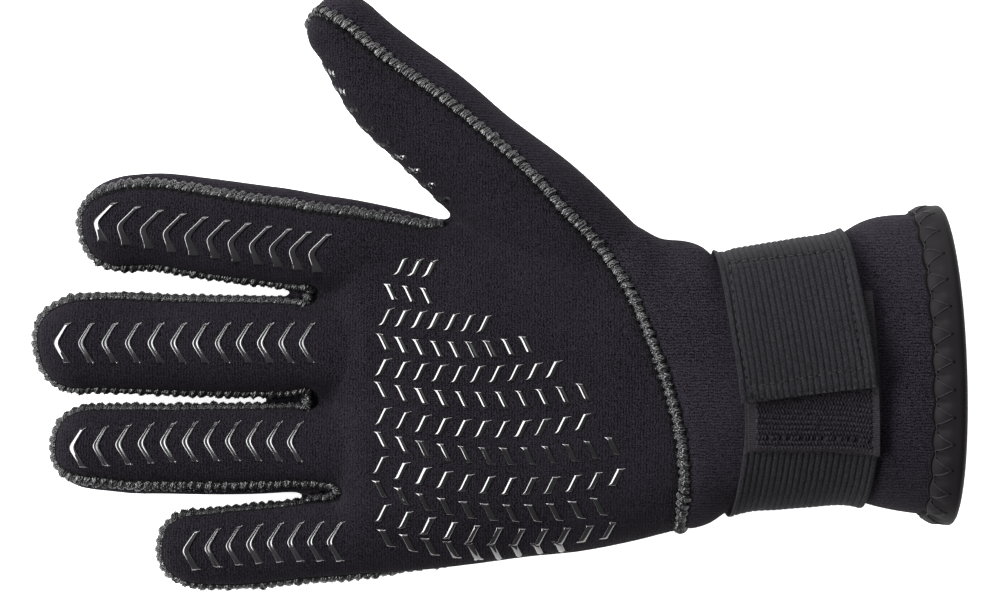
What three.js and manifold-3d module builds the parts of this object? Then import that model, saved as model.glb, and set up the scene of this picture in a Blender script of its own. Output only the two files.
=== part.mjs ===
// A right-hand neoprene glove for water sports, lying on its back with the palm up.
// Two hollow sheets, palm and back, meet edge to edge along overlocked seams. Each finger's part
// of a sheet is a piece of its own from the knuckle on, and so is the gauntlet. Chevrons and bars
// of silicone stand up from the palm side, an elastic strap with a hook-and-loop closure goes
// round the wrist, and a smooth binding folds over the cuff's edge.
// Millimetres. X runs from the fingertips to the cuff, Y towards the thumb, Z up from the table.
import * as THREE from "three";
import { mergeVertices } from "three/addons/utils/BufferGeometryUtils.js";
import Module from "manifold-3d";

const wasm = await Module();
wasm.setup();

// Driving dimensions
const WALL = 3; // neoprene with its knitted faces
const GAP = 0.3; // between pieces that touch on the real glove
const FINGER_SIDES = { skin: 12, cavity: 8 };
const HAND_SIDES = 20;
const TIP_RINGS = 2;
const CUFF_MOUTH = 20; // how far the cavity is cut out past the cuff
const SKY = 200; // above everything, where a line down to the glove starts
const TIP_CLOSE = 70; // degrees of the tip's quarter circle at its last ring

// Fingers, from the palm outwards: the middle of each section, the height of its seam plane,
// its half width and its half thickness. thumbSeam and littleSeam are the seams' angles round
// the section, where 0 faces the thumb side, 90 faces up and 180 faces the little finger's side.
const FINGERS = {
  index: {
    thumbSeam: 35,
    littleSeam: 177,
    tip: { x: -116.2, y: 19.2, z: 10.6 },
    rows: [
      { x: -19.5, y: 8.6, z: 14.0, half: 13.0, thick: 10.3 },
      { x: -53.1, y: 14.3, z: 13.0, half: 14.3, thick: 10.1, under: 150 },
      { minor: true, x: -60.5, y: 16.0, z: 12.7, half: 13.7, thick: 10.0, under: 158 },
      { x: -82.7, y: 19.5, z: 11.9, half: 13.1, thick: 9.7 },
      { x: -103.2, y: 20.8, z: 11.1, half: 12.8, thick: 9.3 },
    ],
  },
  middle: {
    thumbSeam: 2,
    littleSeam: 178,
    tip: { x: -129.7, y: -14.1, z: 10.8 },
    rows: [
      { x: -30.7, y: -14.6, z: 14.0, half: 14.9, thick: 10.8 },
      { x: -53.1, y: -14.7, z: 13.2, half: 14.2, thick: 10.4, top: 30, under: 150 },
      { minor: true, x: -60.5, y: -14.7, z: 12.9, half: 13.4, thick: 10.2, top: 22, under: 158 },
      { x: -92.8, y: -13.7, z: 11.9, half: 12.8, thick: 9.8 },
      { x: -116.4, y: -13.4, z: 11.2, half: 12.7, thick: 9.4 },
    ],
  },
  ring: {
    thumbSeam: 2,
    littleSeam: 143,
    tip: { x: -125.5, y: -42.5, z: 10.5 },
    rows: [
      { x: -30.7, y: -42.5, z: 13.6, half: 13.6, thick: 10.3 },
      { x: -58.0, y: -42.6, z: 12.6, half: 12.3, thick: 9.8, top: 22 },
      { minor: true, x: -69.3, y: -43.0, z: 12.3, half: 12.5, thick: 9.7 },
      { x: -112.5, y: -42.9, z: 10.9, half: 11.5, thick: 9.0 },
    ],
  },
  little: {
    thumbSeam: 6,
    littleSeam: 170,
    tip: { x: -95.2, y: -70.8, z: 10.4 },
    rows: [
      { x: -24.0, y: -64.2, z: 13.2, half: 11.8, thick: 9.2 },
      { x: -43.3, y: -66.8, z: 12.5, half: 11.7, thick: 9.0 },
      { minor: true, x: -55.9, y: -68.0, z: 12.0, half: 11.3, thick: 8.8, top: 24 },
      { x: -69.3, y: -69.9, z: 11.4, half: 10.7, thick: 8.5 },
      { x: -83.0, y: -71.0, z: 10.8, half: 10.3, thick: 8.2 },
    ],
  },
};

// The thumb, with its own seam angles in each row: top is the seam seen from above, and
// under is the one beneath it. The palm panel lies between the two, on the index finger's side.
const THUMB = {
  tip: { x: -51.4, y: 79.4, z: 14.0, top: 88, under: 205 },
  rows: [
    { x: 50.5, y: -20.9, z: 19.0, half: 11.2, thick: 12.0, top: 62, under: 182 },
    { x: 42.1, y: -9.7, z: 18.2, half: 14.0, thick: 13.2, top: 62, under: 182 },
    { minor: true, x: 30.7, y: 3.8, z: 17.6, half: 16.0, thick: 13.8, top: 62, under: 182 },
    { x: 9.9, y: 23.1, z: 16.5, half: 17.0, thick: 13.4, top: 60, under: 186 },
    { x: -8.4, y: 39.1, z: 15.8, half: 15.4, thick: 12.4, top: 61, under: 224 },
    { x: -30.2, y: 58.1, z: 15.0, half: 13.8, thick: 11.2, top: 68, under: 250 },
    { x: -43.4, y: 72.4, z: 14.3, half: 10.6, thick: 9.5, top: 82, under: 235 },
  ],
};

// The hand and gauntlet, from the knuckles to the cuff: the outline's two edges, the height
// of its widest line, and its lowest and highest points. lean tilts a section across the arm.
// The cavity passes over the minor rows.
const HAND = [
  { x: -33.5, thumbY: 23.4, littleY: -76.8, mid: 13.5, low: 1.2, top: 27.0, lean: 0 },
  { x: -7.0, thumbY: 21.4, littleY: -74.2, mid: 14.5, low: 0.0, top: 31.5, lean: 0 },
  { x: 22.5, thumbY: 21.0, littleY: -71.2, mid: 16.3, low: 0.0, top: 35.0, lean: 0 },
  { x: 45.0, thumbY: 15.0, littleY: -66.2, mid: 19.0, low: 1.2, top: 39.0, lean: -0.02 },
  { x: 53.3, thumbY: 15.4, littleY: -64.6, mid: 20.5, low: 2.0, top: 40.6, lean: -0.03 },
  { x: 60.0, thumbY: 12.6, littleY: -62.4, mid: 21.4, low: 2.5, top: 41.4, lean: -0.035 },
  { minor: true, x: 67.0, thumbY: 11.2, littleY: -60.2, mid: 22.0, low: 2.8, top: 42.1, lean: -0.04 },
  { x: 83.0, thumbY: 14.0, littleY: -57.2, mid: 23.3, low: 2.8, top: 44.0, lean: -0.045 },
  { minor: true, x: 95.0, thumbY: 16.7, littleY: -56.8, mid: 24.2, low: 2.6, top: 46.0, lean: -0.05 },
  { x: 102.0, thumbY: 20.2, littleY: -57.9, mid: 24.8, low: 2.3, top: 47.5, lean: -0.055 },
  { x: 122.6, thumbY: 22.4, littleY: -60.9, mid: 26.0, low: 2.0, top: 49.4, lean: -0.075 },
];
const HAND_POWER = { top: 2.3, bottom: 2.6 };
const BACK_FLAT = 1.05; // how much deeper the back's curve would go, were it not flat
const FINGER_POWER = 2.15;
const WEB = { length: 14, rings: 2 }; // the hand's rounded front, between the fingers

// Where the wrist seam crosses the palm, from the thumb's knuckle to the hand's edge
const WRIST_SEAM = [
  { x: 0.9, y: 41.1 },
  { x: 6.8, y: 35.8 },
  { x: 12.8, y: 29.4 },
  { x: 18.7, y: 22.8 },
  { x: 23.6, y: 18.0 },
  { x: 28.8, y: 11.8 },
  { x: 33.4, y: 4.9 },
  { x: 36.9, y: -1.4 },
  { x: 39.7, y: -8.1 },
  { x: 42.5, y: -15.2 },
  { x: 45.1, y: -22.6 },
  { x: 47.2, y: -29.8 },
  { x: 48.9, y: -36.8 },
  { x: 49.9, y: -43.7 },
  { x: 50.3, y: -50.6 },
  { x: 50.1, y: -57.4 },
  { x: 49.6, y: -63.4 },
];
// Where each finger's own seam starts, the webs between them, and the seam's angle round the
// hand along its outer edge
const WEB_LINE = { index: -56, middle: -56, ring: -50, little: -46 };
const WEBS = [
  { x: -15.6, y: 22.6, z: 18.0 },
  { x: -53.6, y: -0.2, z: 18.6 },
  { x: -54.0, y: -29.3, z: 18.4 },
  { x: -46.4, y: -55.8, z: 18.6 },
];
const EDGE_SEAM = [
  { x: -30, angle: 183 },
  { x: -12, angle: 192 },
  { x: 10, angle: 202 },
  { x: 30, angle: 206 },
  { x: 46.5, angle: 206 },
];
const WRIST_SEAM_LOW = [204, 188]; // its angles round the hand below its last place
const THUMB_FREE = 4; // the thumb's first row beyond the hand
// Where the finger seam joins: how far before the thumb's crotch and before the hand's outer edge,
// and which way its thread faces in a web
const SEAM_JOIN = { crotch: 5, edge: 6 };
const WEB_FACING = { x: -0.3, z: 1 };
const THUMB_CROTCH = { x: -15.6, y: 21.9 };
// The palm sheet seen from above: its front and outer limits, and the step beside the thumb's crotch
const PALM_OUTLINE = { front: -50, outside: -90, step: { x: -21.6, y: 17.9 }, frontY: 6 };
// The sheet's lower edge over the hand: level on the thumb side, lower down the hand's edge
const PALM_EDGE = { inside: 56, shoulder: -50, slope: -62, outside: -95, ceiling: 60 };
const PALM_HEM = [
  { x: -50, thumbZ: 13.4, littleZ: 12.4 },
  { x: -24, thumbZ: 14.0, littleZ: 12.0 },
  { x: -5, thumbZ: 14.5, littleZ: 9.2 },
  { x: 12, thumbZ: 15.0, littleZ: 7.6 },
  { x: 30, thumbZ: 16.0, littleZ: 7.6 },
  { x: 60, thumbZ: 18.0, littleZ: 9.8 },
];

// Each finger's sheets end at its knuckle, at this distance from the tip and between two
// chevrons. The gauntlet starts under the strap.
const KNUCKLES = { index: 59.2, middle: 68.4, ring: 66.9, little: 42.4, thumb: 58.8 };
const GAUNTLET_X = 67;

// Overlocked seams and the silicone grip
// The bead's section: across the seam, and up from the skin
const BEAD = { profile: [[-1.7, 0.5], [1.7, 0.5], [1, 1.9], [-1, 1.9]] };
const GRIP = { height: 0.75, width: 1.7, sink: 0.9 };
const CHEVRON = { spread: 27, sweep: 4.3 }; // half its angle round the finger, and its depth
const CHEVRONS = {
  index: { count: 11, first: 5.2, pitch: 6.1, angle: 102 },
  middle: { count: 12, first: 7.0, pitch: 6.25, angle: 90 },
  ring: { count: 11, first: 6.8, pitch: 6.1, angle: 87 },
  little: { count: 8, first: 8.5, pitch: 5.75, angle: 90 },
  thumb: { count: 8, first: 17.0, pitch: 6.1, angle: 182 },
};
// Rows of slanting bars across the palm. turn is 1 where a bar leans like a slash and -1 where
// it leans the other way. A row starts at x, its bars are pitch apart, and its line sags.
const PALM_BAR = { reach: 2.5, slant: 1.35, hem: 1.2 }; // hem: how near a bar may come to the edge
const PALM_ROWS = [
  { turn: 1, x: -27.2, y: 8.1, count: 3, pitch: 4.02, sag: 0, rise: -0.6 },
  { turn: -1, x: -30.1, y: 1.0, count: 3, pitch: 5.01, sag: 0, rise: -1.1 },
  { turn: 1, x: -31.4, y: -5.9, count: 7, pitch: 4.54, sag: 0.1, rise: -1.9 },
  { turn: -1, x: -31.9, y: -12.8, count: 9, pitch: 4.9, sag: 1.8, rise: -0.7 },
  { turn: 1, x: -32.2, y: -19.8, count: 10, pitch: 5.21, sag: 1.6, rise: -0.4 },
  { turn: -1, x: -32.5, y: -26.1, count: 11, pitch: 5.55, sag: 2.5, rise: -0.3 },
  { turn: 1, x: -32.2, y: -33.3, count: 11, pitch: 5.48, sag: 2.7, rise: -1.3 },
  { turn: -1, x: -32.5, y: -39.9, count: 12, pitch: 5.77, sag: 3.6, rise: -1.2 },
  { turn: 1, x: -33.0, y: -46.8, count: 12, pitch: 5.9, sag: 4.0, rise: -2.9 },
  { turn: -1, x: -33.0, y: -53.6, count: 11, pitch: 6.02, sag: 3.9, rise: -4.4 },
  { turn: 1, x: -32.4, y: -60.2, count: 11, pitch: 6.24, sag: 4.0, rise: -4.7 },
  { turn: -1, x: -31.5, y: -67.3, count: 9, pitch: 6.07, sag: 2.1, rise: -3.3 },
];

// The wrist strap, an elastic band: it starts under the closure, goes round the back of the
// wrist and ends in the tab. Angles are round the wrist, 0 at the thumb side and 90 on the palm.
// mid is the band's middle along the arm, and lift is how far it stands off the glove.
const STRAP = { width: 36.8, thick: 1.4, slant: 5 };
const STRAP_ROWS = [
  { angle: 45, mid: 84.4, lift: 0.5 },
  { angle: 135, mid: 84.2, lift: 0.5 },
  { angle: 180, mid: 83.6, lift: 0.5 },
  { angle: 270, mid: 80.5, lift: 0.5 },
  { angle: 360, mid: 75.6, lift: 0.5 },
  { angle: 375, mid: 75.8, lift: 1.2 },
  { angle: 405, mid: 77.2, lift: 4.9 },
  { angle: 425, mid: 79.2, lift: 4.9 },
  { angle: 455, mid: 83.1, lift: 4.9 },
];
const LOOP_PATCH = { from: 47, to: 126, mid: 84.4, width: 35.4, lift: 2.2, thick: 1.2 };
const HOOK_PATCH = { from: 56, to: 91, mid: 82.2, width: 31, lift: 3.7, thick: 0.9 };
const BINDING = { width: 7, thick: 1.7, shoulder: 0.4 };

const radians = THREE.MathUtils.degToRad;

// A closed solid through rings of points. A wrapped loft joins its last ring to its first.
function loft(rings, wrap = false) {
  const size = rings[0].length;
  const points = rings.flat();
  const faces = [];
  const last = wrap ? rings.length : rings.length - 1;
  for (let i = 0; i < last; i++) {
    const here = i * size;
    const next = ((i + 1) % rings.length) * size;
    for (let j = 0; j < size; j++) {
      const k = (j + 1) % size;
      faces.push([here + j, here + k, next + k], [here + j, next + k, next + j]);
    }
  }
  if (!wrap) {
    for (const [start, turned] of [[0, true], [last * size, false]]) {
      for (let j = 1; j < size - 1; j++) {
        const face = [start, start + j, start + j + 1];
        faces.push(turned ? face.reverse() : face);
      }
    }
  }
  return solidOf(points, faces);
}

function solidOf(points, faces) {
  const flat = new Float32Array(points.flatMap((p) => [p.x, p.y, p.z]));
  const build = (list) => new wasm.Manifold(new wasm.Mesh({
    numProp: 3, vertProperties: flat, triVerts: new Uint32Array(list.flat()),
  }));
  const made = build(faces);
  return made.volume() > 0 ? made : build(faces.map((f) => [...f].reverse()));
}

const point = (x, y, z) => new THREE.Vector3(x, y, z);
const joined = (solids) => solids.reduce((a, b) => a.add(b));

// The biggest body of a solid, without slivers that a cut leaves behind
function mainBody(solid) {
  return solid.decompose().reduce((a, b) => (a.volume() > b.volume() ? a : b));
}

function superellipse(degrees, halfWidth, halfHeight, power) {
  const bend = (v) => Math.sign(v) * Math.abs(v) ** (2 / power);
  const a = radians(degrees);
  return [halfWidth * bend(Math.cos(a)), halfHeight * bend(Math.sin(a))];
}

// The stations of a finger: its rows, then the rings that round its tip. pull shortens the tip.
function stations(finger, pull = 0) {
  const { rows, tip, thumbSeam, littleSeam } = finger;
  const end = rows.at(-1);
  const toTip = point(tip.x - end.x, tip.y - end.y, tip.z - end.z);
  const share = (toTip.length() - pull) / toTip.length();
  const caps = Array.from({ length: TIP_RINGS }, (_, i) => {
    const turn = radians((TIP_CLOSE * (i + 1)) / TIP_RINGS);
    const along = Math.sin(turn);
    const seam = (key) => THREE.MathUtils.lerp(end[key], tip[key], along);
    return {
      x: end.x + toTip.x * along * share,
      y: end.y + toTip.y * along * share,
      z: end.z + toTip.z * along * share,
      half: end.half * Math.cos(turn),
      thick: end.thick * Math.cos(turn),
      closing: Math.cos(turn),
      top: thumbSeam === undefined ? seam("top") : thumbSeam * Math.cos(turn),
      under: thumbSeam === undefined ? seam("under") : 180 - (180 - littleSeam) * Math.cos(turn),
    };
  });
  const body = rows.map((r) => ({ closing: 1, top: thumbSeam, under: littleSeam, ...r }));
  const all = [...body, ...caps];
  return all.map((s, i) => {
    const a = all[Math.max(0, i - 1)];
    const b = all[Math.min(all.length - 1, i + 1)];
    const run = point(b.x - a.x, b.y - a.y, 0).normalize();
    return { ...s, across: point(run.y, -run.x, 0) };
  });
}

// A point of a finger's skin at a station. grow moves it outwards, or inwards if negative.
function skin(station, degrees, grow = 0) {
  const half = station.half + grow * station.closing;
  const thick = station.thick + grow * station.closing;
  const [side, up] = superellipse(degrees, half, thick, FINGER_POWER);
  return point(station.x, station.y, station.z).addScaledVector(station.across, side).setZ(station.z + up);
}

function ringAngles(count) {
  return Array.from({ length: count }, (_, i) => (360 * i) / count);
}

function fingerSolid(finger, grow) {
  const cavity = grow < 0;
  const angles = ringAngles(cavity ? FINGER_SIDES.cavity : FINGER_SIDES.skin);
  const line = stations(finger, -grow).filter((s) => !(cavity && s.minor));
  return loft(line.map((s) => angles.map((a) => skin(s, a, grow))));
}

// The hand's section at x, between its table's rows
function handAt(x) {
  const next = HAND.findIndex((row) => row.x >= x);
  const k = next < 0 ? HAND.length - 1 : Math.max(1, next);
  const [a, b] = [HAND[k - 1], HAND[k]];
  const share = (x - a.x) / (b.x - a.x);
  const keys = ["x", "thumbY", "littleY", "mid", "low", "top", "lean"];
  return Object.fromEntries(keys.map((key) => [key, THREE.MathUtils.lerp(a[key], b[key], share)]));
}

// A point of the hand's skin, at an angle round a section. The back of it lies flat.
function handSkin(row, degrees, grow = 0, squeeze = 1) {
  const centre = (row.thumbY + row.littleY) / 2;
  const half = (row.thumbY - row.littleY) / 2 + grow;
  const above = Math.sin(radians(degrees)) >= 0;
  const rise = (row.top - row.mid + grow) * squeeze;
  const drop = (row.mid - row.low + grow) * squeeze;
  const [y, z] = above
    ? superellipse(degrees, half, rise, HAND_POWER.top)
    : superellipse(degrees, half, drop * BACK_FLAT, HAND_POWER.bottom);
  return point(row.x + row.lean * y, centre + y, row.mid + Math.max(z, -drop));
}

// beyond carries the cavity out through the cuff.
function handSolid(grow, beyond = 0) {
  const first = HAND[0];
  const table = beyond ? HAND.filter((row) => !row.minor) : HAND;
  const rings = [];
  for (let i = 1; i <= WEB.rings; i++) {
    const turn = radians((90 * i) / (WEB.rings + 1));
    const x = first.x - (WEB.length + grow) * Math.cos(turn);
    rings.push(ringAngles(HAND_SIDES).map((a) => handSkin({ ...first, x }, a, grow, Math.sin(turn))));
  }
  const end = table.at(-1);
  const rows = beyond ? [...table, { ...end, x: end.x + beyond }] : table;
  for (const row of rows) rings.push(ringAngles(HAND_SIDES).map((a) => handSkin(row, a, grow)));
  return loft(rings);
}

const DIGITS = { ...FINGERS, thumb: THUMB };
const digits = Object.values(DIGITS);
const gloveSolid = (grow, beyond) =>
  joined([handSolid(grow, beyond), ...digits.map((d) => fingerSolid(d, grow))]);

const SQUARE = [[1, 1], [-1, 1], [-1, -1], [1, -1]];

// The block round a finger from its knuckle to past its tip. grow moves its end over the hand.
function fingerBlock(name, grow) {
  const beside = 0.5;
  const over = 3;
  const line = stations(DIGITS[name]);
  const knuckle = stationFromTip(line, KNUCKLES[name]);
  const ahead = (s, by) => ({ ...s, x: s.x - s.across.y * by, y: s.y + s.across.x * by });
  const sections = [ahead(knuckle, -grow), ...line.slice(knuckle.next), ahead(line.at(-1), over)];
  return loft(sections.map((s) => SQUARE.map(([side, up]) =>
    point(s.x, s.y, s.z)
      .addScaledVector(s.across, side * (s.half + beside))
      .setZ(s.z + up * (s.thick + over)))));
}

// A finger's section at a distance from its tip, and the number of the next station to the tip
function stationFromTip(line, fromTip) {
  let left = fromTip;
  for (let i = line.length - 1; i > 0; i--) {
    const [a, b] = [line[i], line[i - 1]];
    const step = Math.hypot(b.x - a.x, b.y - a.y);
    if (left <= step || i === 1) {
      const keys = ["x", "y", "z", "half", "thick"];
      const mixed = keys.map((key) => [key, THREE.MathUtils.lerp(a[key], b[key], left / step)]);
      const run = point(a.x - b.x, a.y - b.y, 0).normalize();
      return { ...Object.fromEntries(mixed), across: point(run.y, -run.x, 0), next: i };
    }
    left -= step;
  }
}

// The gauntlet's part of the glove
function gauntletBlock(grow) {
  const reach = 100;
  return loft([GAUNTLET_X - grow, GAUNTLET_X + reach].map((x) =>
    SQUARE.map(([y, z]) => point(x, y * reach, z * reach))));
}

// A wedge from a finger's middle out past its skin, between its two seams, through the palm side.
// grow moves its two flat sides outwards.
function seamWedge(finger, grow) {
  const steps = 6;
  const reach = 2;
  const smallest = 4;
  const rings = stations(finger, -reach).map((s) => {
    const wide = { ...s, closing: 1, half: Math.max(s.half, smallest), thick: Math.max(s.thick, smallest) };
    const away = (degrees) => point(0, 0, 0)
      .addScaledVector(s.across, grow * Math.cos(radians(degrees)))
      .setZ(grow * Math.sin(radians(degrees)));
    const heart = point(s.x, s.y, s.z).add(away((s.top + s.under) / 2 + 180));
    const arc = Array.from({ length: steps + 1 }, (_, i) =>
      skin(wide, THREE.MathUtils.lerp(s.top, s.under, i / steps), reach + grow));
    arc[0].add(away(s.top - 90));
    arc[steps].add(away(s.under + 90));
    return [heart, ...arc];
  });
  return loft(rings);
}

// Everything above the panel's lower edge and within the seam across the wrist
function palmBlock(grow) {
  const { front, outside, step, frontY } = PALM_OUTLINE;
  const seam = WRIST_SEAM.map((p, i) => {
    const a = WRIST_SEAM[Math.max(0, i - 1)];
    const b = WRIST_SEAM[Math.min(WRIST_SEAM.length - 1, i + 1)];
    const run = point(b.x - a.x, b.y - a.y, 0).normalize();
    return [p.x - run.y * grow, p.y + run.x * grow];
  });
  const edge = seam.at(-1);
  const outline = [
    [front, frontY],
    [step.x, frontY],
    [step.x, step.y],
    [THUMB_CROTCH.x - grow, THUMB_CROTCH.y + grow],
    ...seam,
    [edge[0], outside],
    [front, outside],
  ];
  const shape = new THREE.Shape(outline.map(([x, y]) => new THREE.Vector2(x, y)));
  const prism = new THREE.ExtrudeGeometry(shape, { depth: PALM_EDGE.ceiling, bevelEnabled: false });
  const above = loft(PALM_HEM.map(({ x, thumbZ, littleZ }) => [
    point(x, PALM_EDGE.inside, PALM_EDGE.ceiling),
    point(x, PALM_EDGE.inside, thumbZ - grow),
    point(x, PALM_EDGE.shoulder, thumbZ - grow),
    point(x, PALM_EDGE.slope, littleZ - grow),
    point(x, PALM_EDGE.outside, littleZ - grow),
    point(x, PALM_EDGE.outside, PALM_EDGE.ceiling),
  ]));
  return fromGeometry(prism).intersect(above);
}

function fromGeometry(geometry) {
  geometry.deleteAttribute("normal");
  geometry.deleteAttribute("uv");
  const merged = mergeVertices(geometry, 1e-4);
  const at = merged.getAttribute("position");
  const points = Array.from({ length: at.count }, (_, i) => point(at.getX(i), at.getY(i), at.getZ(i)));
  const index = [...merged.index.array];
  const faces = Array.from({ length: index.length / 3 }, (_, i) => index.slice(3 * i, 3 * i + 3));
  return solidOf(points, faces);
}

const palmSide = (grow) => joined([palmBlock(grow), ...digits.map((d) => seamWedge(d, grow))]);

// Where a vertical line meets the top of the glove, and the skin's direction there
function topFinder(solid) {
  const mesh = new THREE.Mesh(geometryOf(solid), new THREE.MeshBasicMaterial());
  const caster = new THREE.Raycaster();
  return (x, y) => {
    caster.set(point(x, y, SKY), point(0, 0, -1));
    const hit = caster.intersectObject(mesh)[0];
    return hit && { at: hit.point, normal: hit.face.normal.clone() };
  };
}

function geometryOf(solid) {
  const made = solid.getMesh();
  const geometry = new THREE.BufferGeometry();
  geometry.setAttribute("position", new THREE.BufferAttribute(made.vertProperties, 3));
  geometry.setIndex(new THREE.BufferAttribute(made.triVerts, 1));
  geometry.computeVertexNormals();
  return geometry;
}

// A ridge of silicone through a few places on the skin, with flat sides and a mitred bend
function ridge(places) {
  const up = places.reduce((sum, p) => sum.add(p.normal), point(0, 0, 0)).normalize();
  const sides = places.slice(1).map((p, i) => p.at.clone().sub(places[i].at).cross(up).normalize());
  return loft(places.map(({ at }, i) => {
    const a = sides[Math.max(0, i - 1)];
    const b = sides[Math.min(i, sides.length - 1)];
    const side = a.clone().add(b).multiplyScalar(GRIP.width / 2 / (1 + a.dot(b)));
    const foot = at.clone().addScaledVector(up, -GRIP.sink);
    return [foot.clone().add(side), at.clone().addScaledVector(up, GRIP.height), foot.clone().sub(side)];
  }));
}

// A place on a finger's skin, at a distance from its tip and an angle round it
function placeOnFinger(finger, fromTip, degrees) {
  const line = stations(finger).reverse();
  let left = fromTip;
  for (let i = 0; i + 1 < line.length; i++) {
    const step = Math.hypot(line[i + 1].x - line[i].x, line[i + 1].y - line[i].y);
    if (left <= step || i + 2 === line.length) {
      const a = skin(line[i], degrees);
      const b = skin(line[i + 1], degrees);
      const at = a.clone().lerp(b, left / step);
      const heart = point(line[i].x, line[i].y, line[i].z)
        .lerp(point(line[i + 1].x, line[i + 1].y, line[i + 1].z), left / step);
      const out = at.clone().sub(heart);
      const run = point(line[i + 1].x - line[i].x, line[i + 1].y - line[i].y, 0).normalize();
      return { at, normal: out.addScaledVector(run, -out.dot(run)).normalize() };
    }
    left -= step;
  }
}

function chevrons(name) {
  const finger = DIGITS[name];
  const { count, first, pitch, angle } = CHEVRONS[name];
  return Array.from({ length: count }, (_, i) => {
    const fromTip = first + pitch * i;
    return ridge([-1, 0, 1].map((side) =>
      placeOnFinger(finger, fromTip + Math.abs(side) * CHEVRON.sweep, angle + side * CHEVRON.spread)));
  });
}

function palmBars(topOf) {
  const made = [];
  for (const { turn, x, y, count, pitch, sag, rise } of PALM_ROWS) {
    for (let i = 0; i < count; i++) {
      const share = i / Math.max(1, count - 1);
      const cx = x + pitch * i;
      const cy = y + rise * share - 4 * sag * share * (1 - share);
      const hem = handAt(cx).littleY + PALM_BAR.hem;
      const ends = [-1, 1].map((s) =>
        topOf(cx + s * turn * PALM_BAR.slant, Math.max(hem, cy + s * PALM_BAR.reach)));
      made.push(ridge(ends));
    }
  }
  return made;
}

// A half-round bead of thread along a path of places on the skin
function bead(path) {
  return loft(path.map(({ at, normal }, i) => {
    const run = path[Math.min(i + 1, path.length - 1)].at.clone().sub(path[Math.max(i - 1, 0)].at);
    const side = run.cross(normal).normalize();
    return BEAD.profile.map(([across, up]) =>
      at.clone().addScaledVector(side, across).addScaledVector(normal, up));
  }));
}

// A place on the skin of a section, with the direction out of its middle
function placeOn(middle, at) {
  return { at, normal: at.clone().sub(middle).normalize() };
}

function handPlace(x, angle) {
  const row = handAt(x);
  return placeOn(point(x, (row.thumbY + row.littleY) / 2, row.mid), handSkin(row, angle));
}

const seamPlace = (s, key) => placeOn(point(s.x, s.y, s.z), skin(s, s[key]));

// Up one side of a finger from its web, round the tip, and back down the other side
function roundTip(line) {
  const end = line.at(-1);
  const ahead = point(-end.across.y, end.across.x, 0);
  const front = { at: point(end.x, end.y, end.z), normal: ahead };
  const back = line.map((s) => seamPlace(s, "under")).reverse();
  return [...line.map((s) => seamPlace(s, "top")), front, ...back];
}

function fingerSeam() {
  const facing = point(WEB_FACING.x, 0, WEB_FACING.z).normalize();
  const web = WEBS.map(({ x, y, z }) => ({ at: point(x, y, z), normal: facing.clone() }));
  const free = (name) => stations(FINGERS[name]).filter((s) => s.x < WEB_LINE[name]);
  const joining = (name, to) => stations(FINGERS[name]).filter((s) => s.x >= WEB_LINE[name] && s.x < to);
  const edge = EDGE_SEAM.map(({ x, angle }) => handPlace(x, angle));
  return bead([
    web[0], ...joining("index", THUMB_CROTCH.x - SEAM_JOIN.crotch).map((s) => seamPlace(s, "top")),
    ...roundTip(free("index")), web[1], ...roundTip(free("middle")), web[2],
    ...roundTip(free("ring")), web[3], ...roundTip(free("little")),
    ...joining("little", EDGE_SEAM[0].x - SEAM_JOIN.edge).map((s) => seamPlace(s, "under")).reverse(),
    ...edge,
  ]);
}

function thumbSeam(topOf) {
  const wrist = WRIST_SEAM.map((p) => topOf(p.x, p.y)).filter(Boolean).reverse();
  const low = WRIST_SEAM_LOW.map((angle) => handPlace(WRIST_SEAM.at(-1).x, angle));
  return bead([...low, ...wrist, ...roundTip(stations(THUMB).slice(THUMB_FREE))]);
}

// A point over the wrist: angle round it, x along the arm, off the skin by lift
const overWrist = (x, degrees, lift) => handSkin(handAt(x), degrees, lift);

// A band lying over the wrist, given as stations with an angle, a middle and a lift. slant
// turns its last edge square to its run.
function band(line, width, thick, slant = 0) {
  const rings = line.map(({ angle, mid, lift }, i) => {
    const skew = i === line.length - 1 ? slant : 0;
    const columns = [-1, 0, 1].map((c) => ({ x: mid + (c * width) / 2, angle: angle - c * skew }));
    const face = (height) => columns.map((c) => overWrist(c.x, c.angle, height));
    return [...face(lift), ...face(lift + thick).reverse()];
  });
  return loft(rings);
}

// Stations at the same angles as the hand's own corners
function bandLine(rows) {
  const step = 360 / HAND_SIDES;
  const [first, last] = [rows[0], rows.at(-1)];
  const corners = ringAngles(HAND_SIDES).flatMap((a) => [a, a + 360])
    .filter((a) => a > first.angle + step / 4 && a < last.angle - step / 4)
    .sort((a, b) => a - b);
  return [first.angle, ...corners, last.angle].map((angle) => {
    const k = Math.max(1, rows.findIndex((r) => r.angle >= angle - 0.01));
    const [a, b] = [rows[k - 1], rows[k]];
    const share = (angle - a.angle) / (b.angle - a.angle);
    const mix = (key) => THREE.MathUtils.lerp(a[key], b[key], share);
    return { angle, mid: mix("mid"), lift: mix("lift") };
  });
}

function patch({ from, to, mid, width, lift, thick }) {
  return band(bandLine([{ angle: from, mid, lift }, { angle: to, mid, lift }]), width, thick);
}

// The cuff's binding: a strip folded over the edge, U-shaped in section
function binding() {
  const end = HAND.at(-1);
  const outer = GAP + BINDING.thick;
  const profile = [
    [-BINDING.width, GAP], [-BINDING.width, outer], [BINDING.shoulder, outer], [outer, 0],
    [outer, -WALL], [BINDING.shoulder, -WALL - outer], [-BINDING.width, -WALL - outer],
    [-BINDING.width, -WALL - GAP], [GAP, -WALL - GAP], [GAP, GAP],
  ];
  const rings = ringAngles(HAND_SIDES).map((a) => profile.map(([along, off]) => {
    const row = handAt(end.x + Math.min(0, along));
    const p = handSkin({ ...row, lean: end.lean }, a, off);
    return p.setX(p.x + Math.max(0, along));
  }));
  return loft(rings, true);
}

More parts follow.
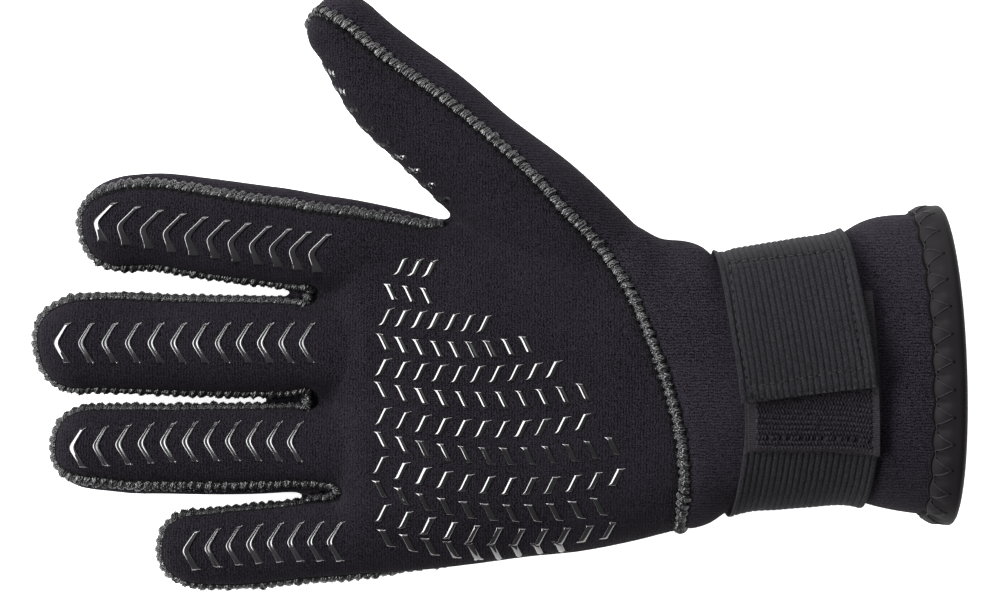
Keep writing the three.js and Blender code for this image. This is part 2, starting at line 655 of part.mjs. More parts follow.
const outer = gloveSolid(0);
const shell = outer.subtract(gloveSolid(-WALL, CUFF_MOUTH));
const clearance = gloveSolid(GAP);
const topOf = topFinder(outer);
const grip = joined([...Object.keys(CHEVRONS).flatMap(chevrons), ...palmBars(topOf)]);

const palmSheet = shell.intersect(palmSide(0)).add(grip);
const backSheet = shell.subtract(palmSide(GAP));
const fingerBlocks = joined(Object.keys(DIGITS).map((name) => fingerBlock(name, GAP)));
const fingerSheets = Object.fromEntries(Object.keys(DIGITS).flatMap((name) => [
  [`${name}_front`, mainBody(palmSheet.intersect(fingerBlock(name, 0)))],
  [`${name}_back`, mainBody(backSheet.intersect(fingerBlock(name, 0)))],
]));

const solids = {
  palm_panel: mainBody(palmSheet.subtract(fingerBlocks)),
  back_panel: mainBody(backSheet.subtract(fingerBlocks).subtract(gauntletBlock(GAP))),
  ...fingerSheets,
  gauntlet: mainBody(backSheet.intersect(gauntletBlock(0))),
  finger_seam: mainBody(fingerSeam().subtract(clearance)),
  thumb_seam: mainBody(thumbSeam(topOf).subtract(clearance)),
  wrist_strap: band(bandLine(STRAP_ROWS), STRAP.width, STRAP.thick, STRAP.slant),
  loop_patch: patch(LOOP_PATCH),
  hook_patch: patch(HOOK_PATCH),
  cuff_binding: binding(),
};

const neoprene = { color: 0x27242a, roughness: 0.9, metalness: 0 };
const thread = { color: 0x3a393d, roughness: 0.7, metalness: 0 };
const FINISH = {
  finger_seam: thread,
  thumb_seam: thread,
  wrist_strap: { color: 0x2e2e30, roughness: 0.85, metalness: 0 },
  loop_patch: { color: 0x242226, roughness: 0.95, metalness: 0 },
  hook_patch: { color: 0x1f1e20, roughness: 0.6, metalness: 0 },
  cuff_binding: { color: 0x262425, roughness: 0.65, metalness: 0 },
};

const glove = new THREE.Group();
for (const [name, solid] of Object.entries(solids)) {
  const material = new THREE.MeshStandardMaterial(FINISH[name] ?? neoprene);
  const mesh = new THREE.Mesh(geometryOf(solid), material);
  mesh.name = name;
  glove.add(mesh);
}

// The origin is under the middle of the outline, on the table
const outline = new THREE.Box3().setFromObject(glove);
const middle = outline.getCenter(new THREE.Vector3());
glove.position.set(-middle.x, -middle.y, -outline.min.z);

export default glove;
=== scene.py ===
"""A right-hand neoprene glove on a pale floor, palm up, seen from straight above."""
import math

import bmesh
import bpy
import numpy as np
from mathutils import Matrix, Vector
from mathutils.bvhtree import BVHTree
from mathutils.kdtree import KDTree


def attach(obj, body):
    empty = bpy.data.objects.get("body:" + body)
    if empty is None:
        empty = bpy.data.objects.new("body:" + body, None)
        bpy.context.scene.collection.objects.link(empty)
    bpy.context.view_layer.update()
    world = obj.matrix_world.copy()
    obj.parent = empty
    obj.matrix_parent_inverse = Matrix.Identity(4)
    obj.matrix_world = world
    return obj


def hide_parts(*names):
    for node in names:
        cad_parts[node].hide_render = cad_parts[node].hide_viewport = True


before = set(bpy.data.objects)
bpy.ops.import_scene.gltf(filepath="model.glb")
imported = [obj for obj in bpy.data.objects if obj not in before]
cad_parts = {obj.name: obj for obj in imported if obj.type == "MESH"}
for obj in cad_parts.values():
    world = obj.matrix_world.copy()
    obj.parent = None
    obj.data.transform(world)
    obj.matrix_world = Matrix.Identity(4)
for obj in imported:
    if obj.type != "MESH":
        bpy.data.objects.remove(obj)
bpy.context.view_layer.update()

RNG = np.random.default_rng(7)

# Sizes are in millimetres, in the glove's pattern. OFFSET moves them to the row frame.
OFFSET = np.array([1.536, 0.111, 0.0])
WALL = 3.0
UP = np.array([0.0, 0.0, 1.0])
# A direction that no thread runs along
ANY_WAY = np.array([0.31, 0.52, 0.8])

# The camera looks straight down. A picture of the plane FOCUS_Z is PICTURE_WIDTH wide.
PICTURE_WIDTH = 280.0
FOCUS_Z = 15.0
CAMERA_Z = 865.0

# Fingers: x, y of the middle, half width, seam height, half thickness, and the two seam angles
# (0 faces the thumb side, 90 up, 180 the little finger's side), in each row or for all rows
FINGERS = {
    "index": {
        "tip": (-118.3, 17.2, 10.6),
        "rows": [
            (-19.5, 8.6, 13.2, 14.0, 10.3, 35, 172), (-30.7, 10.8, 13.8, 13.8, 10.4, 38, 172),
            (-43.3, 12.8, 14.4, 13.5, 10.3, 42, 172), (-53.1, 14.4, 14.3, 13.0, 10.1, 44, 170),
            (-60.5, 16.1, 14.0, 12.7, 10.0, 45, 168), (-69.3, 17.2, 14.1, 12.4, 9.9, 46, 166),
            (-82.7, 19.0, 14.1, 11.9, 9.7, 43, 166), (-96.2, 20.8, 13.7, 11.4, 9.5, 39, 166),
            (-102.9, 20.6, 13.5, 11.1, 9.3, 37, 166),
        ],
    },
    "middle": {
        "tip": (-130.6, -16.4, 10.8), "seams": (20, 168),
        "rows": [
            (-30.7, -14.6, 15.0, 14.0, 10.8), (-43.3, -14.6, 15.0, 13.6, 10.6),
            (-53.1, -14.3, 14.3, 13.2, 10.4), (-60.5, -14.2, 14.1, 12.9, 10.2),
            (-70.0, -14.1, 14.15, 12.6, 10.1), (-79.4, -14.0, 14.15, 12.3, 10.0),
            (-92.8, -13.7, 14.1, 11.9, 9.8), (-106.3, -13.1, 14.2, 11.5, 9.6),
            (-116.3, -13.1, 14.0, 11.2, 9.4),
        ],
    },
    "ring": {
        "tip": (-126.3, -41.8, 10.5), "seams": (14, 143),
        "rows": [
            (-30.7, -42.5, 13.7, 13.6, 10.3), (-43.3, -42.5, 13.6, 13.2, 10.1),
            (-53.1, -42.7, 12.8, 12.8, 9.9), (-59.2, -42.7, 12.75, 12.6, 9.8),
            (-69.3, -43.1, 12.85, 12.3, 9.7), (-82.7, -43.2, 12.8, 11.9, 9.5),
            (-92.8, -43.2, 12.6, 11.5, 9.3), (-102.9, -43.1, 12.6, 11.2, 9.2),
            (-111.9, -42.7, 12.1, 10.9, 9.0),
        ],
    },
    "little": {
        "tip": (-96.4, -70.1, 10.4), "seams": (14, 168),
        "rows": [
            (-24.0, -64.4, 12.3, 13.2, 9.2), (-43.3, -67.1, 12.5, 12.5, 9.0),
            (-55.9, -68.8, 11.7, 12.0, 8.8), (-69.3, -70.3, 11.7, 11.4, 8.5),
            (-76.0, -70.8, 11.6, 11.1, 8.4), (-82.7, -71.2, 11.1, 10.8, 8.2),
        ],
    },
}
# The thumb's rows have their own seam angles: on top, and underneath
THUMB = {
    "tip": (-51.9, 80.4, 14.0), "tip_seams": (88, 205),
    "rows": [
        (50.5, -20.9, 11.2, 19.0, 12.0, 62, 182), (42.1, -9.7, 14.0, 18.2, 13.2, 62, 182),
        (30.7, 3.8, 16.2, 17.6, 13.8, 62, 182), (23.4, 10.5, 16.8, 17.0, 13.8, 60, 182),
        (9.9, 23.1, 17.0, 16.5, 13.4, 60, 186), (-8.4, 39.1, 15.4, 15.8, 12.4, 61, 224),
        (-19.1, 48.9, 15.0, 15.4, 11.8, 64, 240), (-30.0, 58.3, 14.1, 15.0, 11.2, 68, 250),
        (-37.9, 67.3, 11.9, 14.6, 10.2, 76, 248), (-42.6, 73.4, 10.3, 14.3, 9.5, 82, 235),
    ],
}
# The hand: x, thumb-side edge, little finger's edge, height of the widest line, low, top, lean
HAND = np.array([
    (-33.5, 23.4, -78.2, 13.5, 1.2, 27.0, 0.0), (-20.0, 21.6, -76.8, 14.0, 0.0, 29.5, 0.0),
    (-7.0, 21.4, -75.2, 14.5, 0.0, 31.5, 0.0), (8.0, 22.0, -73.1, 15.0, 0.0, 33.3, 0.0),
    (22.5, 21.0, -71.5, 16.3, 0.0, 35.0, 0.0), (33.7, 20.8, -69.2, 17.5, 0.4, 36.8, -0.01),
    (39.3, 19.2, -67.8, 18.2, 0.8, 37.9, -0.015), (45.0, 16.1, -66.2, 19.0, 1.2, 39.0, -0.02),
    (53.3, 15.1, -64.6, 20.5, 2.0, 40.6, -0.03),
    (57.5, 13.6, -63.0, 21.0, 2.3, 41.1, -0.033), (61.0, 10.6, -60.4, 21.4, 2.5, 41.4, -0.035),
    (67.0, 11.4, -58.3, 22.0, 2.8, 42.1, -0.04), (75.0, 12.7, -57.6, 22.6, 2.8, 43.0, -0.043),
    (83.0, 14.0, -56.9, 23.3, 2.8, 44.0, -0.045), (95.0, 16.4, -56.4, 24.2, 2.6, 46.0, -0.05),
    (102.0, 20.2, -58.3, 24.8, 2.3, 47.5, -0.055), (123.6, 22.9, -61.4, 26.0, 2.0, 49.4, -0.035),
])
HAND_POWER = (2.3, 2.6)
BACK_FLAT = 1.05
FINGER_POWER = 2.15
# How blunt the finger tips are, seen from above: 1 would be round
TIP_BLUNT = 0.86
# How far up the seam climbs on the finger tips
TIP_LIFT = 3.5
WEB_LENGTH = 14.0
# Sections: their spacing along a finger, how many close its tip and how far they turn, how closed the
# last one of a hollow is, and the spacing along the hand and along a seam's line
STATIONS = {"spacing": 1.4, "tip": 16, "last": 87, "hollow": 0.25, "hand": 1.6, "seam": 0.6}
CUFF_X = HAND[-1][0]
# The cuff's edge bows: how much, per square millimetre, and from which x
BOW = {"curve": -0.0010, "from": 92.0}

# The seam across the wrist, from the thumb's knuckle to the hand's edge, seen from above
WRIST_SEAM = [
    (0.9, 41.1), (6.8, 35.8), (12.8, 29.4), (18.7, 22.8), (23.6, 18.0), (28.8, 11.8), (33.4, 4.9),
    (36.9, -1.4), (39.7, -8.1), (42.5, -15.2), (45.1, -22.6), (47.2, -29.8), (48.9, -36.8),
    (49.9, -43.7), (50.3, -50.6), (50.1, -57.4), (49.6, -63.4),
]
# The thumb parts from the palm's sheet before this x
THUMB_FREE_X = 14.0
THUMB_CROTCH = (-15.6, 21.9)
# The height where the seams meet in the thumb's crotch
CROTCH_Z = 18.5
# The thumb's own two seams lie before this x
THUMB_SEAM_X = -7
# The palm sheet's lower edge: x, its height, and its height by the hand's outer edge
PALM_HEM = [
    (-50, 13.4, 12.4), (-24, 14.0, 12.0), (-5, 14.5, 9.2), (12, 15.0, 7.6), (30, 16.0, 7.6),
    (60, 18.0, 9.8),
]
# The finger seam's way along the hand's edge: x, and the angle round the section
EDGE_SEAM = [(-34, 181), (-12, 192), (10, 202), (30, 206), (47, 206)]
# Where each finger's seam leaves its web, and the webs' own points
WEB_LINE = {"index": -58, "middle": -58, "ring": -55, "little": -50}
WEBS = [(-53.4, 0.0, 19.0), (-54.0, -29.2, 18.8), (-45.4, -55.2, 18.6)]


# Shapes


def unit(vectors):
    """The vectors at length one."""
    return vectors / np.maximum(np.linalg.norm(vectors, axis=-1, keepdims=True), 1e-12)


def travelled(points):
    """How far along their line the points lie."""
    return np.concatenate([[0], np.cumsum(np.linalg.norm(np.diff(points, axis=0), axis=1))])


def around(count, whole=2 * math.pi):
    """Even steps round a whole turn."""
    return np.linspace(0, whole, count, endpoint=False)


def soften(rows, rounds):
    """Draws every row but the first and last towards its neighbours."""
    for _ in range(rounds):
        rows[1:-1] = (rows[:-2] + 2 * rows[1:-1] + rows[2:]) / 4


def smooth(t, values, at):
    """A smooth curve through rows of values at the places t."""
    t, values, at = np.asarray(t, float), np.asarray(values, float), np.asarray(at, float)
    step = np.diff(t)[:, None]
    slope = np.diff(values, axis=0) / step
    inner = (slope[:-1] * step[1:] + slope[1:] * step[:-1]) / (step[:-1] + step[1:])
    tangent = np.vstack([slope[:1], inner, slope[-1:]])
    k = np.clip(np.searchsorted(t, at) - 1, 0, len(t) - 2)
    h = (t[k + 1] - t[k])[:, None]
    u = ((at - t[k])[:, None] / h).clip(0, 1)
    return ((1 + 2 * u) * (1 - u) ** 2 * values[k] + u * (1 - u) ** 2 * h * tangent[k]
            + u * u * (3 - 2 * u) * values[k + 1] + u * u * (u - 1) * h * tangent[k + 1])


def superellipse(degrees, half_width, half_height, power):
    a = np.radians(degrees)
    c, s = np.cos(a), np.sin(a)
    return (half_width * np.sign(c) * np.abs(c) ** (2 / power),
            half_height * np.sign(s) * np.abs(s) ** (2 / power))


class Finger:
    """A finger's stations: centre, half width, half thickness, how closed the tip is, seam angles."""

    def __init__(self, rows, tip, seams=(), tip_seams=None):
        table = np.array([row + seams for row in rows], float)
        run = travelled(table[:, :2])
        body = smooth(run, table, np.linspace(0, run[-1], int(run[-1] / STATIONS["spacing"]) + 2))
        end = body[-1]
        turn = np.radians(np.linspace(0, STATIONS["last"], STATIONS["tip"] + 1)[1:])[:, None]
        caps = np.repeat(end[None], len(turn), axis=0)
        caps[:, [0, 1, 3]] += (np.array(tip) - end[[0, 1, 3]]) * np.sin(turn) ** TIP_BLUNT
        closing = np.cos(turn) ** TIP_BLUNT
        caps[:, [2, 4]] *= closing
        if tip_seams:
            caps[:, 5:] += (np.array(tip_seams) - end[5:]) * np.sin(turn)
        else:
            caps[:, 5:] = (0, 180) + (end[5:] - (0, 180)) * np.cos(turn)
        all_rows = np.vstack([body, caps])
        self.centre, self.seams = all_rows[:, [0, 1, 3]], all_rows[:, 5:]
        self.half, self.thick = all_rows[:, 2], all_rows[:, 4]
        self.closing = np.concatenate([np.ones(len(body)), closing[:, 0]])
        self.run = unit(np.gradient(self.centre, axis=0) * (1, 1, 0))
        self.across = np.cross(self.run, UP)
        gone = travelled(self.centre)
        self.from_tip = gone[-1] - gone

    def skin(self, i, degrees, grow=0.0):
        side, up = superellipse(degrees, self.half[i] + grow * self.closing[i],
                                self.thick[i] + grow * self.closing[i], FINGER_POWER)
        return self.centre[i] + np.multiply.outer(side, self.across[i]) + np.multiply.outer(up, UP)

    def rings(self, grow, sides):
        """Its sections. A hollow ends before the tip's last ones."""
        return [self.skin(i, around(sides, 360), grow) for i, closing in enumerate(self.closing)
                if grow >= 0 or closing > STATIONS["hollow"]]


DIGITS = {name: Finger(**f) for name, f in {**FINGERS, "thumb": THUMB}.items()}


def hand_row(x):
    """The hand's sections at x."""
    x = np.clip(np.asarray(x, float), HAND[0, 0], CUFF_X)
    return smooth(HAND[:, 0], HAND, x.ravel()).reshape(*x.shape, -1)


def leaning(x, y, lean):
    """How far a section's places are shifted along the hand, y off its middle."""
    bow = BOW["curve"] * np.clip((x - BOW["from"]) / (CUFF_X - BOW["from"]), 0, 1)
    return lean * y + bow * y * y


def hand_skin(x, degrees, grow=0.0, squeeze=1.0):
    """Places on the hand's skin, moved outwards by grow. squeeze flattens the section."""
    x, degrees, grow = np.broadcast_arrays(*(np.asarray(v, float) for v in (x, degrees, grow)))
    thumb_y, little_y, mid, low, top, lean = np.moveaxis(hand_row(x), -1, 0)[1:]
    half = (thumb_y - little_y) / 2 + grow
    rise, drop = (top - mid + grow) * squeeze, (mid - low + grow) * squeeze
    y_up, z_up = superellipse(degrees, half, rise, HAND_POWER[0])
    y_low, z_low = superellipse(degrees, half, drop * BACK_FLAT, HAND_POWER[1])
    above = np.sin(np.radians(degrees)) >= 0
    y, z = np.where(above, y_up, y_low), np.where(above, z_up, np.maximum(z_low, -drop))
    return np.stack([x + leaning(x, y, lean), (thumb_y + little_y) / 2 + y, mid + z], axis=-1)


def hand_rings(grow, sides, beyond):
    """The hand's sections, from the rounded front between the fingers to beyond the cuff."""
    front, angles = HAND[0, 0], around(sides, 360)
    rings = [hand_skin(front, angles, grow, math.sin(turn)) - [(WEB_LENGTH + grow) * math.cos(turn), 0, 0]
             for turn in np.radians(np.linspace(6, 84, 12))]
    rings += [hand_skin(x, angles, grow) for x in np.arange(front, CUFF_X + 0.01, STATIONS["hand"])]
    return rings + [hand_skin(CUFF_X, angles, grow) + [beyond, 0, 0]]


def grid_faces(rows, columns):
    """Faces between rings of points."""
    i, j = np.meshgrid(np.arange(rows - 1), np.arange(columns), indexing="ij")
    k = (j + 1) % columns
    a, b = i * columns, (i + 1) * columns
    return np.stack([a + j, a + k, b + k, b + j], axis=-1).reshape(-1, 4).tolist()


def loft(rings):
    """Vertices and faces of a closed solid through rings of points."""
    n, count = len(rings[0]), len(rings) * len(rings[0])
    points = np.vstack([*rings, rings[0].mean(axis=0), rings[-1].mean(axis=0)])
    faces = grid_faces(len(rings), n)
    for j in range(n):
        k = (j + 1) % n
        faces += [[count, k, j], [count + 1, count - n + j, count - n + k]]
    return points, faces


def merged(parts):
    points, faces, count = [], [], 0
    for p, f in parts:
        points.append(p)
        faces += [[i + count for i in face] for face in f]
        count += len(p)
    return np.vstack(points), faces


def tube(points, radius, sides=4):
    """A closed tube along points."""
    points = np.asarray(points, float)
    tangents = unit(np.gradient(points, axis=0))
    side = unit(np.cross(tangents, ANY_WAY))
    up, turns = np.cross(side, tangents), around(sides)
    return loft(list(points[:, None] + radius * np.cos(turns)[None, :, None] * side[:, None]
                     + radius * np.sin(turns)[None, :, None] * up[:, None]))


def mesh_of(points, faces):
    mesh = bpy.data.meshes.new("shape")
    mesh.from_pydata(((points + OFFSET) / 1000).tolist(), [], faces)
    mesh.validate()
    mesh.update()
    return mesh


def outward(mesh):
    """Turns the faces outwards."""
    bm = bmesh.new()
    bm.from_mesh(mesh)
    bmesh.ops.recalc_face_normals(bm, faces=bm.faces)
    if bm.calc_volume(signed=True) < 0:
        bmesh.ops.reverse_faces(bm, faces=bm.faces)
    bm.to_mesh(mesh)
    bm.free()
    return mesh


def points_of(mesh):
    flat = np.empty(len(mesh.vertices) * 3)
    mesh.vertices.foreach_get("co", flat)
    return flat.reshape(-1, 3) * 1000 - OFFSET


def set_points(mesh, points):
    mesh.vertices.foreach_set("co", ((points + OFFSET) / 1000).ravel())
    mesh.update()


def add_object(name, mesh):
    obj = bpy.data.objects.new(name, mesh)
    bpy.context.scene.collection.objects.link(obj)
    return obj


def applied(mesh, *modifiers):
    """The mesh after some modifiers, each given as its type and settings."""
    obj = add_object("making", mesh)
    helpers = []
    for kind, settings in modifiers:
        modifier = obj.modifiers.new(kind, kind)
        for key, value in settings.items():
            if key == "object":
                value = add_object("helper", value)
                helpers.append(value)
            setattr(modifier, key, value)
    bpy.context.view_layer.update()
    result = bpy.data.meshes.new_from_object(obj.evaluated_get(bpy.context.evaluated_depsgraph_get()))
    for extra in [obj, *helpers]:
        bpy.data.objects.remove(extra)
    return result


def cut(mesh, other, operation):
    return applied(mesh, ("BOOLEAN", {"operation": operation, "solver": "MANIFOLD", "object": other}))


def piece(name, mesh, materials, replaces=()):
    """A finished piece of the glove, riding on its one body and pressed flat where it meets the floor."""
    outward(mesh)
    set_points(mesh, np.maximum(points_of(mesh), (-np.inf, -np.inf, 0)))
    painted = np.zeros(len(mesh.polygons), np.int32)
    mesh.polygons.foreach_get("material_index", painted)
    mesh.materials.clear()
    for material in materials:
        mesh.materials.append(material)
    mesh.polygons.foreach_set("material_index", np.minimum(painted, len(materials) - 1))
    mesh.shade_smooth()
    obj = add_object(name, mesh)
    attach(obj, "root")
    if replaces:
        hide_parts(*replaces)


def joined(name, parts, materials, replaces=()):
    """A piece made of closed shapes."""
    piece(name, mesh_of(*merged(parts)), materials, replaces)


# Materials


class Nodes:
    """A short way to write a material's nodes."""

    def __init__(self, name):
        self.material = bpy.data.materials.new(name)
        self.material.use_nodes = True
        self.tree = self.material.node_tree
        self.shader = self.tree.nodes["Principled BSDF"]
        self.coords = self.tree.nodes.new("ShaderNodeTexCoord").outputs["Object"]

    def node(self, kind, inputs=(), **settings):
        node = self.tree.nodes.new("ShaderNode" + kind)
        for key, value in settings.items():
            setattr(node, key, value)
        for key, value in dict(inputs).items():
            self.feed(node.inputs[key], value)
        return node

    def feed(self, socket, value):
        if isinstance(value, bpy.types.NodeSocket):
            self.tree.links.new(value, socket)
        else:
            socket.default_value = value

    def wave(self, pitch, rotation, distortion, detail_scale):
        """Stripes across X after a turn in degrees, pitch in metres."""
        turned = {"Vector": self.coords, "Rotation": [math.radians(r) for r in rotation]}
        inputs = {"Vector": self.node("Mapping", turned).outputs[0], "Scale": 2 * math.pi / pitch / 20,
                  "Distortion": distortion, "Detail": 1.0, "Detail Scale": detail_scale}
        return self.node("TexWave", inputs, wave_type="BANDS", bands_direction="X").outputs["Fac"]

    def noise(self, scale, detail=3.0, rough=0.55):
        inputs = {"Vector": self.coords, "Scale": scale, "Detail": detail, "Roughness": rough}
        return self.node("TexNoise", inputs).outputs["Fac"]

    def scaled(self, value, factor, more):
        """value x factor + more."""
        node = self.node("Math", operation="MULTIPLY_ADD")
        for socket, number in zip(node.inputs, (value, factor, more)):
            self.feed(socket, number)
        return node.outputs[0]

    def sum(self, *weighted):
        """Adds up (value, weight) pairs."""
        total = 0.0
        for value, weight in weighted:
            total = self.scaled(value, weight, total)
        return total

    def tones(self, fac, tint, low, high, start=0.3, end=0.7):
        """A colour that runs from tint x low to tint x high as fac rises."""
        node = self.node("ValToRGB", {"Fac": fac})
        for element, place, level in zip(node.color_ramp.elements, (start, end), (low, high)):
            element.position = place
            element.color = (*(level * c for c in tint), 1)
        return node.outputs[0]

    def bump(self, height, distance, strength):
        inputs = {"Height": height, "Distance": distance, "Strength": strength}
        return self.node("Bump", inputs).outputs[0]

    def finish(self, colour, rough, normal=None, **constants):
        self.feed(self.shader.inputs["Base Color"], colour)
        self.feed(self.shader.inputs["Roughness"], rough)
        if normal is not None:
            self.feed(self.shader.inputs["Normal"], normal)
        for key, value in constants.items():
            self.shader.inputs[key.replace("_", " ")].default_value = value
        return self.material


# Linear colours
NEOPRENE_TINT = (0.0056, 0.0047, 0.0065)
THREAD_TINT = (0.0062, 0.0059, 0.0069)
STITCH_TINT = (0.0135, 0.0130, 0.0142)
SILICONE_TINT = (0.0076, 0.0070, 0.0086)
# Darker than the grip silicone: painted shade for the shaded flanks of the palm's bars.
PALM_SILICONE_SHADE_TINT = (0.0020, 0.0018, 0.0023)
ELASTIC_TINT = (0.0071, 0.0069, 0.0082)
PILE_TINT = (0.0068, 0.0058, 0.0082)
SELVEDGE_TINT = (0.0125, 0.0112, 0.0135)
SKIN_TINT = (0.0051, 0.0043, 0.0050)
HOOK_TINT = (0.0040, 0.0039, 0.0043)
# Near-black: painted shade in needle holes and along creases.
HOLE_SHADE_TINT = (0.0012, 0.0011, 0.0013)
# The knit's ribs and rows, in metres
RIB_PITCH = 0.00080
ROW_PITCH = 0.00062


def knit(name, turn, level):
    """Jersey over neoprene: fine ribs, rows of stitches and a slight mottle."""
    n = Nodes(name)
    ribs = n.wave(RIB_PITCH, rotation=(0, 0, turn), distortion=4.0, detail_scale=1.5)
    rows = n.wave(ROW_PITCH, rotation=(0, 0, turn + 90), distortion=4.0, detail_scale=1.5)
    grain, fine, cloud = n.noise(3100, 2.0, 0.7), n.noise(4200, 1.0), n.noise(30, 3.0)
    mottle = n.sum((ribs, 0.07), (grain, 0.73), (fine, 0.1), (cloud, 0.1))
    colour = n.tones(mottle, NEOPRENE_TINT, 0.0, 3.8 * level, 0.4, 0.62)
    normal = n.bump(n.sum((rows, 0.14), (grain, 0.9), (ribs, 0.2)), 0.0003, 0.8)
    return n.finish(colour, 0.8, normal, Sheen_Weight=0.01, Sheen_Roughness=0.5, Specular_IOR_Level=0.02)


def overlock_thread():
    n = Nodes("overlock_thread")
    twist = n.wave(0.0007, rotation=(20, 35, 50), distortion=1.5, detail_scale=3.0)
    mottle = n.noise(900, 3.0)
    colour = n.tones(n.sum((mottle, 0.7), (twist, 0.3)), THREAD_TINT, 0.2, 2.6)
    normal = n.bump(n.sum((twist, 0.5), (mottle, 0.8)), 0.0003, 0.9)
    rough = n.scaled(n.noise(1300, 2.0), 0.7, -0.04)
    return n.finish(colour, rough, normal, Specular_IOR_Level=0.7)


def silicone(name, tint):
    n = Nodes(name)
    wobble, fine = n.noise(240, 2.0), n.noise(2400, 2.0)
    colour = n.tones(wobble, tint, 0.6, 1.5)
    rough = n.scaled(wobble, 0.03, 0.01)
    normal = n.bump(n.sum((wobble, 1.0), (fine, 0.1)), 0.00002, 0.4)
    return n.finish(colour, rough, normal, Specular_IOR_Level=1.0)


def elastic(name, level):
    """Woven elastic: a fine twill over the ribs, which are in the mesh."""
    n = Nodes(name)
    weave = n.wave(0.00055, rotation=(0, 0, 55), distortion=2.0, detail_scale=3.0)
    grain = n.noise(1900, 2.0, 0.7)
    tint = tuple(level * c for c in ELASTIC_TINT)
    colour = n.tones(n.sum((grain, 0.8), (weave, 0.2)), tint, 0.4, 2.75, 0.4, 0.66)
    return n.finish(colour, 0.75, n.bump(n.sum((grain, 0.9), (weave, 0.1)), 0.00012, 0.8),
                    Sheen_Weight=0.01, Specular_IOR_Level=0.04)


def plain_fabric(name, tint, rough, scale, depth=0.00012, contrast=0.6):
    n = Nodes(name)
    grain = n.noise(scale, 3.0)
    return n.finish(n.tones(grain, tint, 1 - contrast, 1 + contrast), rough, n.bump(grain, depth, 0.8),
                    Sheen_Weight=0.02, Specular_IOR_Level=0.08)


def smooth_skin():
    """Smooth-skin neoprene: satin rubber with a very fine grain."""
    n = Nodes("smooth_skin")
    fine, broad = n.noise(2200, 2.0), n.noise(60, 3.0)
    colour = n.tones(n.sum((broad, 0.7), (fine, 0.3)), SKIN_TINT, 0.8, 1.25)
    return n.finish(colour, 0.62, n.bump(fine, 0.00004, 0.5), Specular_IOR_Level=0.08)


def dull_shaded_silicone():
    """The grip silicone in a darker, duller copy for the thumb's side ridges seen edge on: the darker
    colour is painted shade.
    """
    n = Nodes("dull_shaded_silicone")
    return n.finish(n.tones(n.noise(900), NEOPRENE_TINT, 0.2, 0.6), 0.45, Specular_IOR_Level=0.12)


# Two levels of one jersey: the back sheet's lighter level is partly its own tone, partly painted light on
# the back of the thumb.
PALM_KNIT = knit("palm_jersey", 0, 0.75)
BACK_KNIT = knit("back_jersey", 90, 1.04)
THREAD = overlock_thread()
SILICONE = silicone("grip_silicone", SILICONE_TINT)
# A darker copy of the grip silicone for the palm's bars: painted shade.
SHADED_PALM_SILICONE = silicone("palm_silicone_shaded", PALM_SILICONE_SHADE_TINT)
DULL_SHADED_SILICONE = dull_shaded_silicone()
ELASTIC = elastic("ribbed_elastic", 1.0)
# A darker copy of the ribbed elastic for the rib grooves: painted shade in the recesses.
GROOVE_SHADE = elastic("elastic_groove_shade", 0.6)
SKIN = smooth_skin()
LOOPS = plain_fabric("loop_pile", PILE_TINT, 0.7, 1400, 0.0002, 0.9)
SELVEDGE = plain_fabric("woven_edge", SELVEDGE_TINT, 0.7, 2000)
HOOKS = plain_fabric("hook_tape", HOOK_TINT, 0.55, 1200)
STITCH = plain_fabric("stitch_thread", STITCH_TINT, 0.5, 2400)
# Near-black material: painted shade in the needle holes and along the creases by the beads and the
# binding.
HOLE_SHADE = plain_fabric("needle_hole_shade", HOLE_SHADE_TINT, 0.9, 2400)


# The glove's body


def glove_form(grow, sides, voxel, rounds, beyond):
    """The whole glove, grown by grow. sides are those of the hand's sections and of a finger's."""
    parts = [loft(hand_rings(grow, sides[0], beyond))]
    parts += [loft(finger.rings(grow, sides[1])) for finger in DIGITS.values()]
    mesh = outward(mesh_of(*merged(parts)))
    return applied(mesh, ("REMESH", {"mode": "VOXEL", "voxel_size": voxel / 1000, "adaptivity": 0.0}),
                   ("SMOOTH", {"factor": 0.5, "iterations": rounds}))


def bvh_of(mesh):
    points = points_of(mesh)
    return BVHTree.FromPolygons(points.tolist(), [list(p.vertices) for p in mesh.polygons])


def on_skin(point):
    """The nearest place on the body's surface, with its outward direction."""
    at, normal, _, _ = SURFACE.find_nearest(Vector(point))
    return np.array(at), np.array(normal)


def struck(start, end, surface):
    """Where a ray from start towards end strikes a surface, with the surface's direction there."""
    start, end = Vector(start), Vector(end)
    at, normal, _, _ = surface.ray_cast(start, (end - start).normalized())
    return (np.array(at), np.array(normal)) if at else on_skin(end)


def sight(x, y, surface=None):
    """What the camera sees of a surface at a place of the focus plane."""
    return struck((0, 0, CAMERA_Z), (x, y, FOCUS_Z), surface or SURFACE)


def from_above(x, y):
    return struck((x, y, CAMERA_Z), (x, y, FOCUS_Z), SURFACE)


def resampled(points):
    """A smooth line through points, in even steps."""
    points = np.array(points, float)
    gone = travelled(points)
    keep = np.concatenate([[True], np.diff(gone) > 1e-6])
    count = max(2, int(round(gone[-1] / STATIONS["seam"])) + 1)
    return smooth(gone[keep], points[keep], np.linspace(0, gone[-1], count))


def seam_side(finger, column, lowest, highest):
    """A finger's seam towards its tip, between two x."""
    return [finger.skin(i, finger.seams[i, column]) + UP * TIP_LIFT * (1 - finger.closing[i])
            for i in range(0, len(finger.half), 3) if lowest <= finger.centre[i, 0] < highest]


def round_tip(name, highest):
    """A digit's seam out to its tip and back, where x is below highest."""
    out, back = (seam_side(DIGITS[name], column, -math.inf, highest) for column in (0, 1))
    return out + back[::-1]


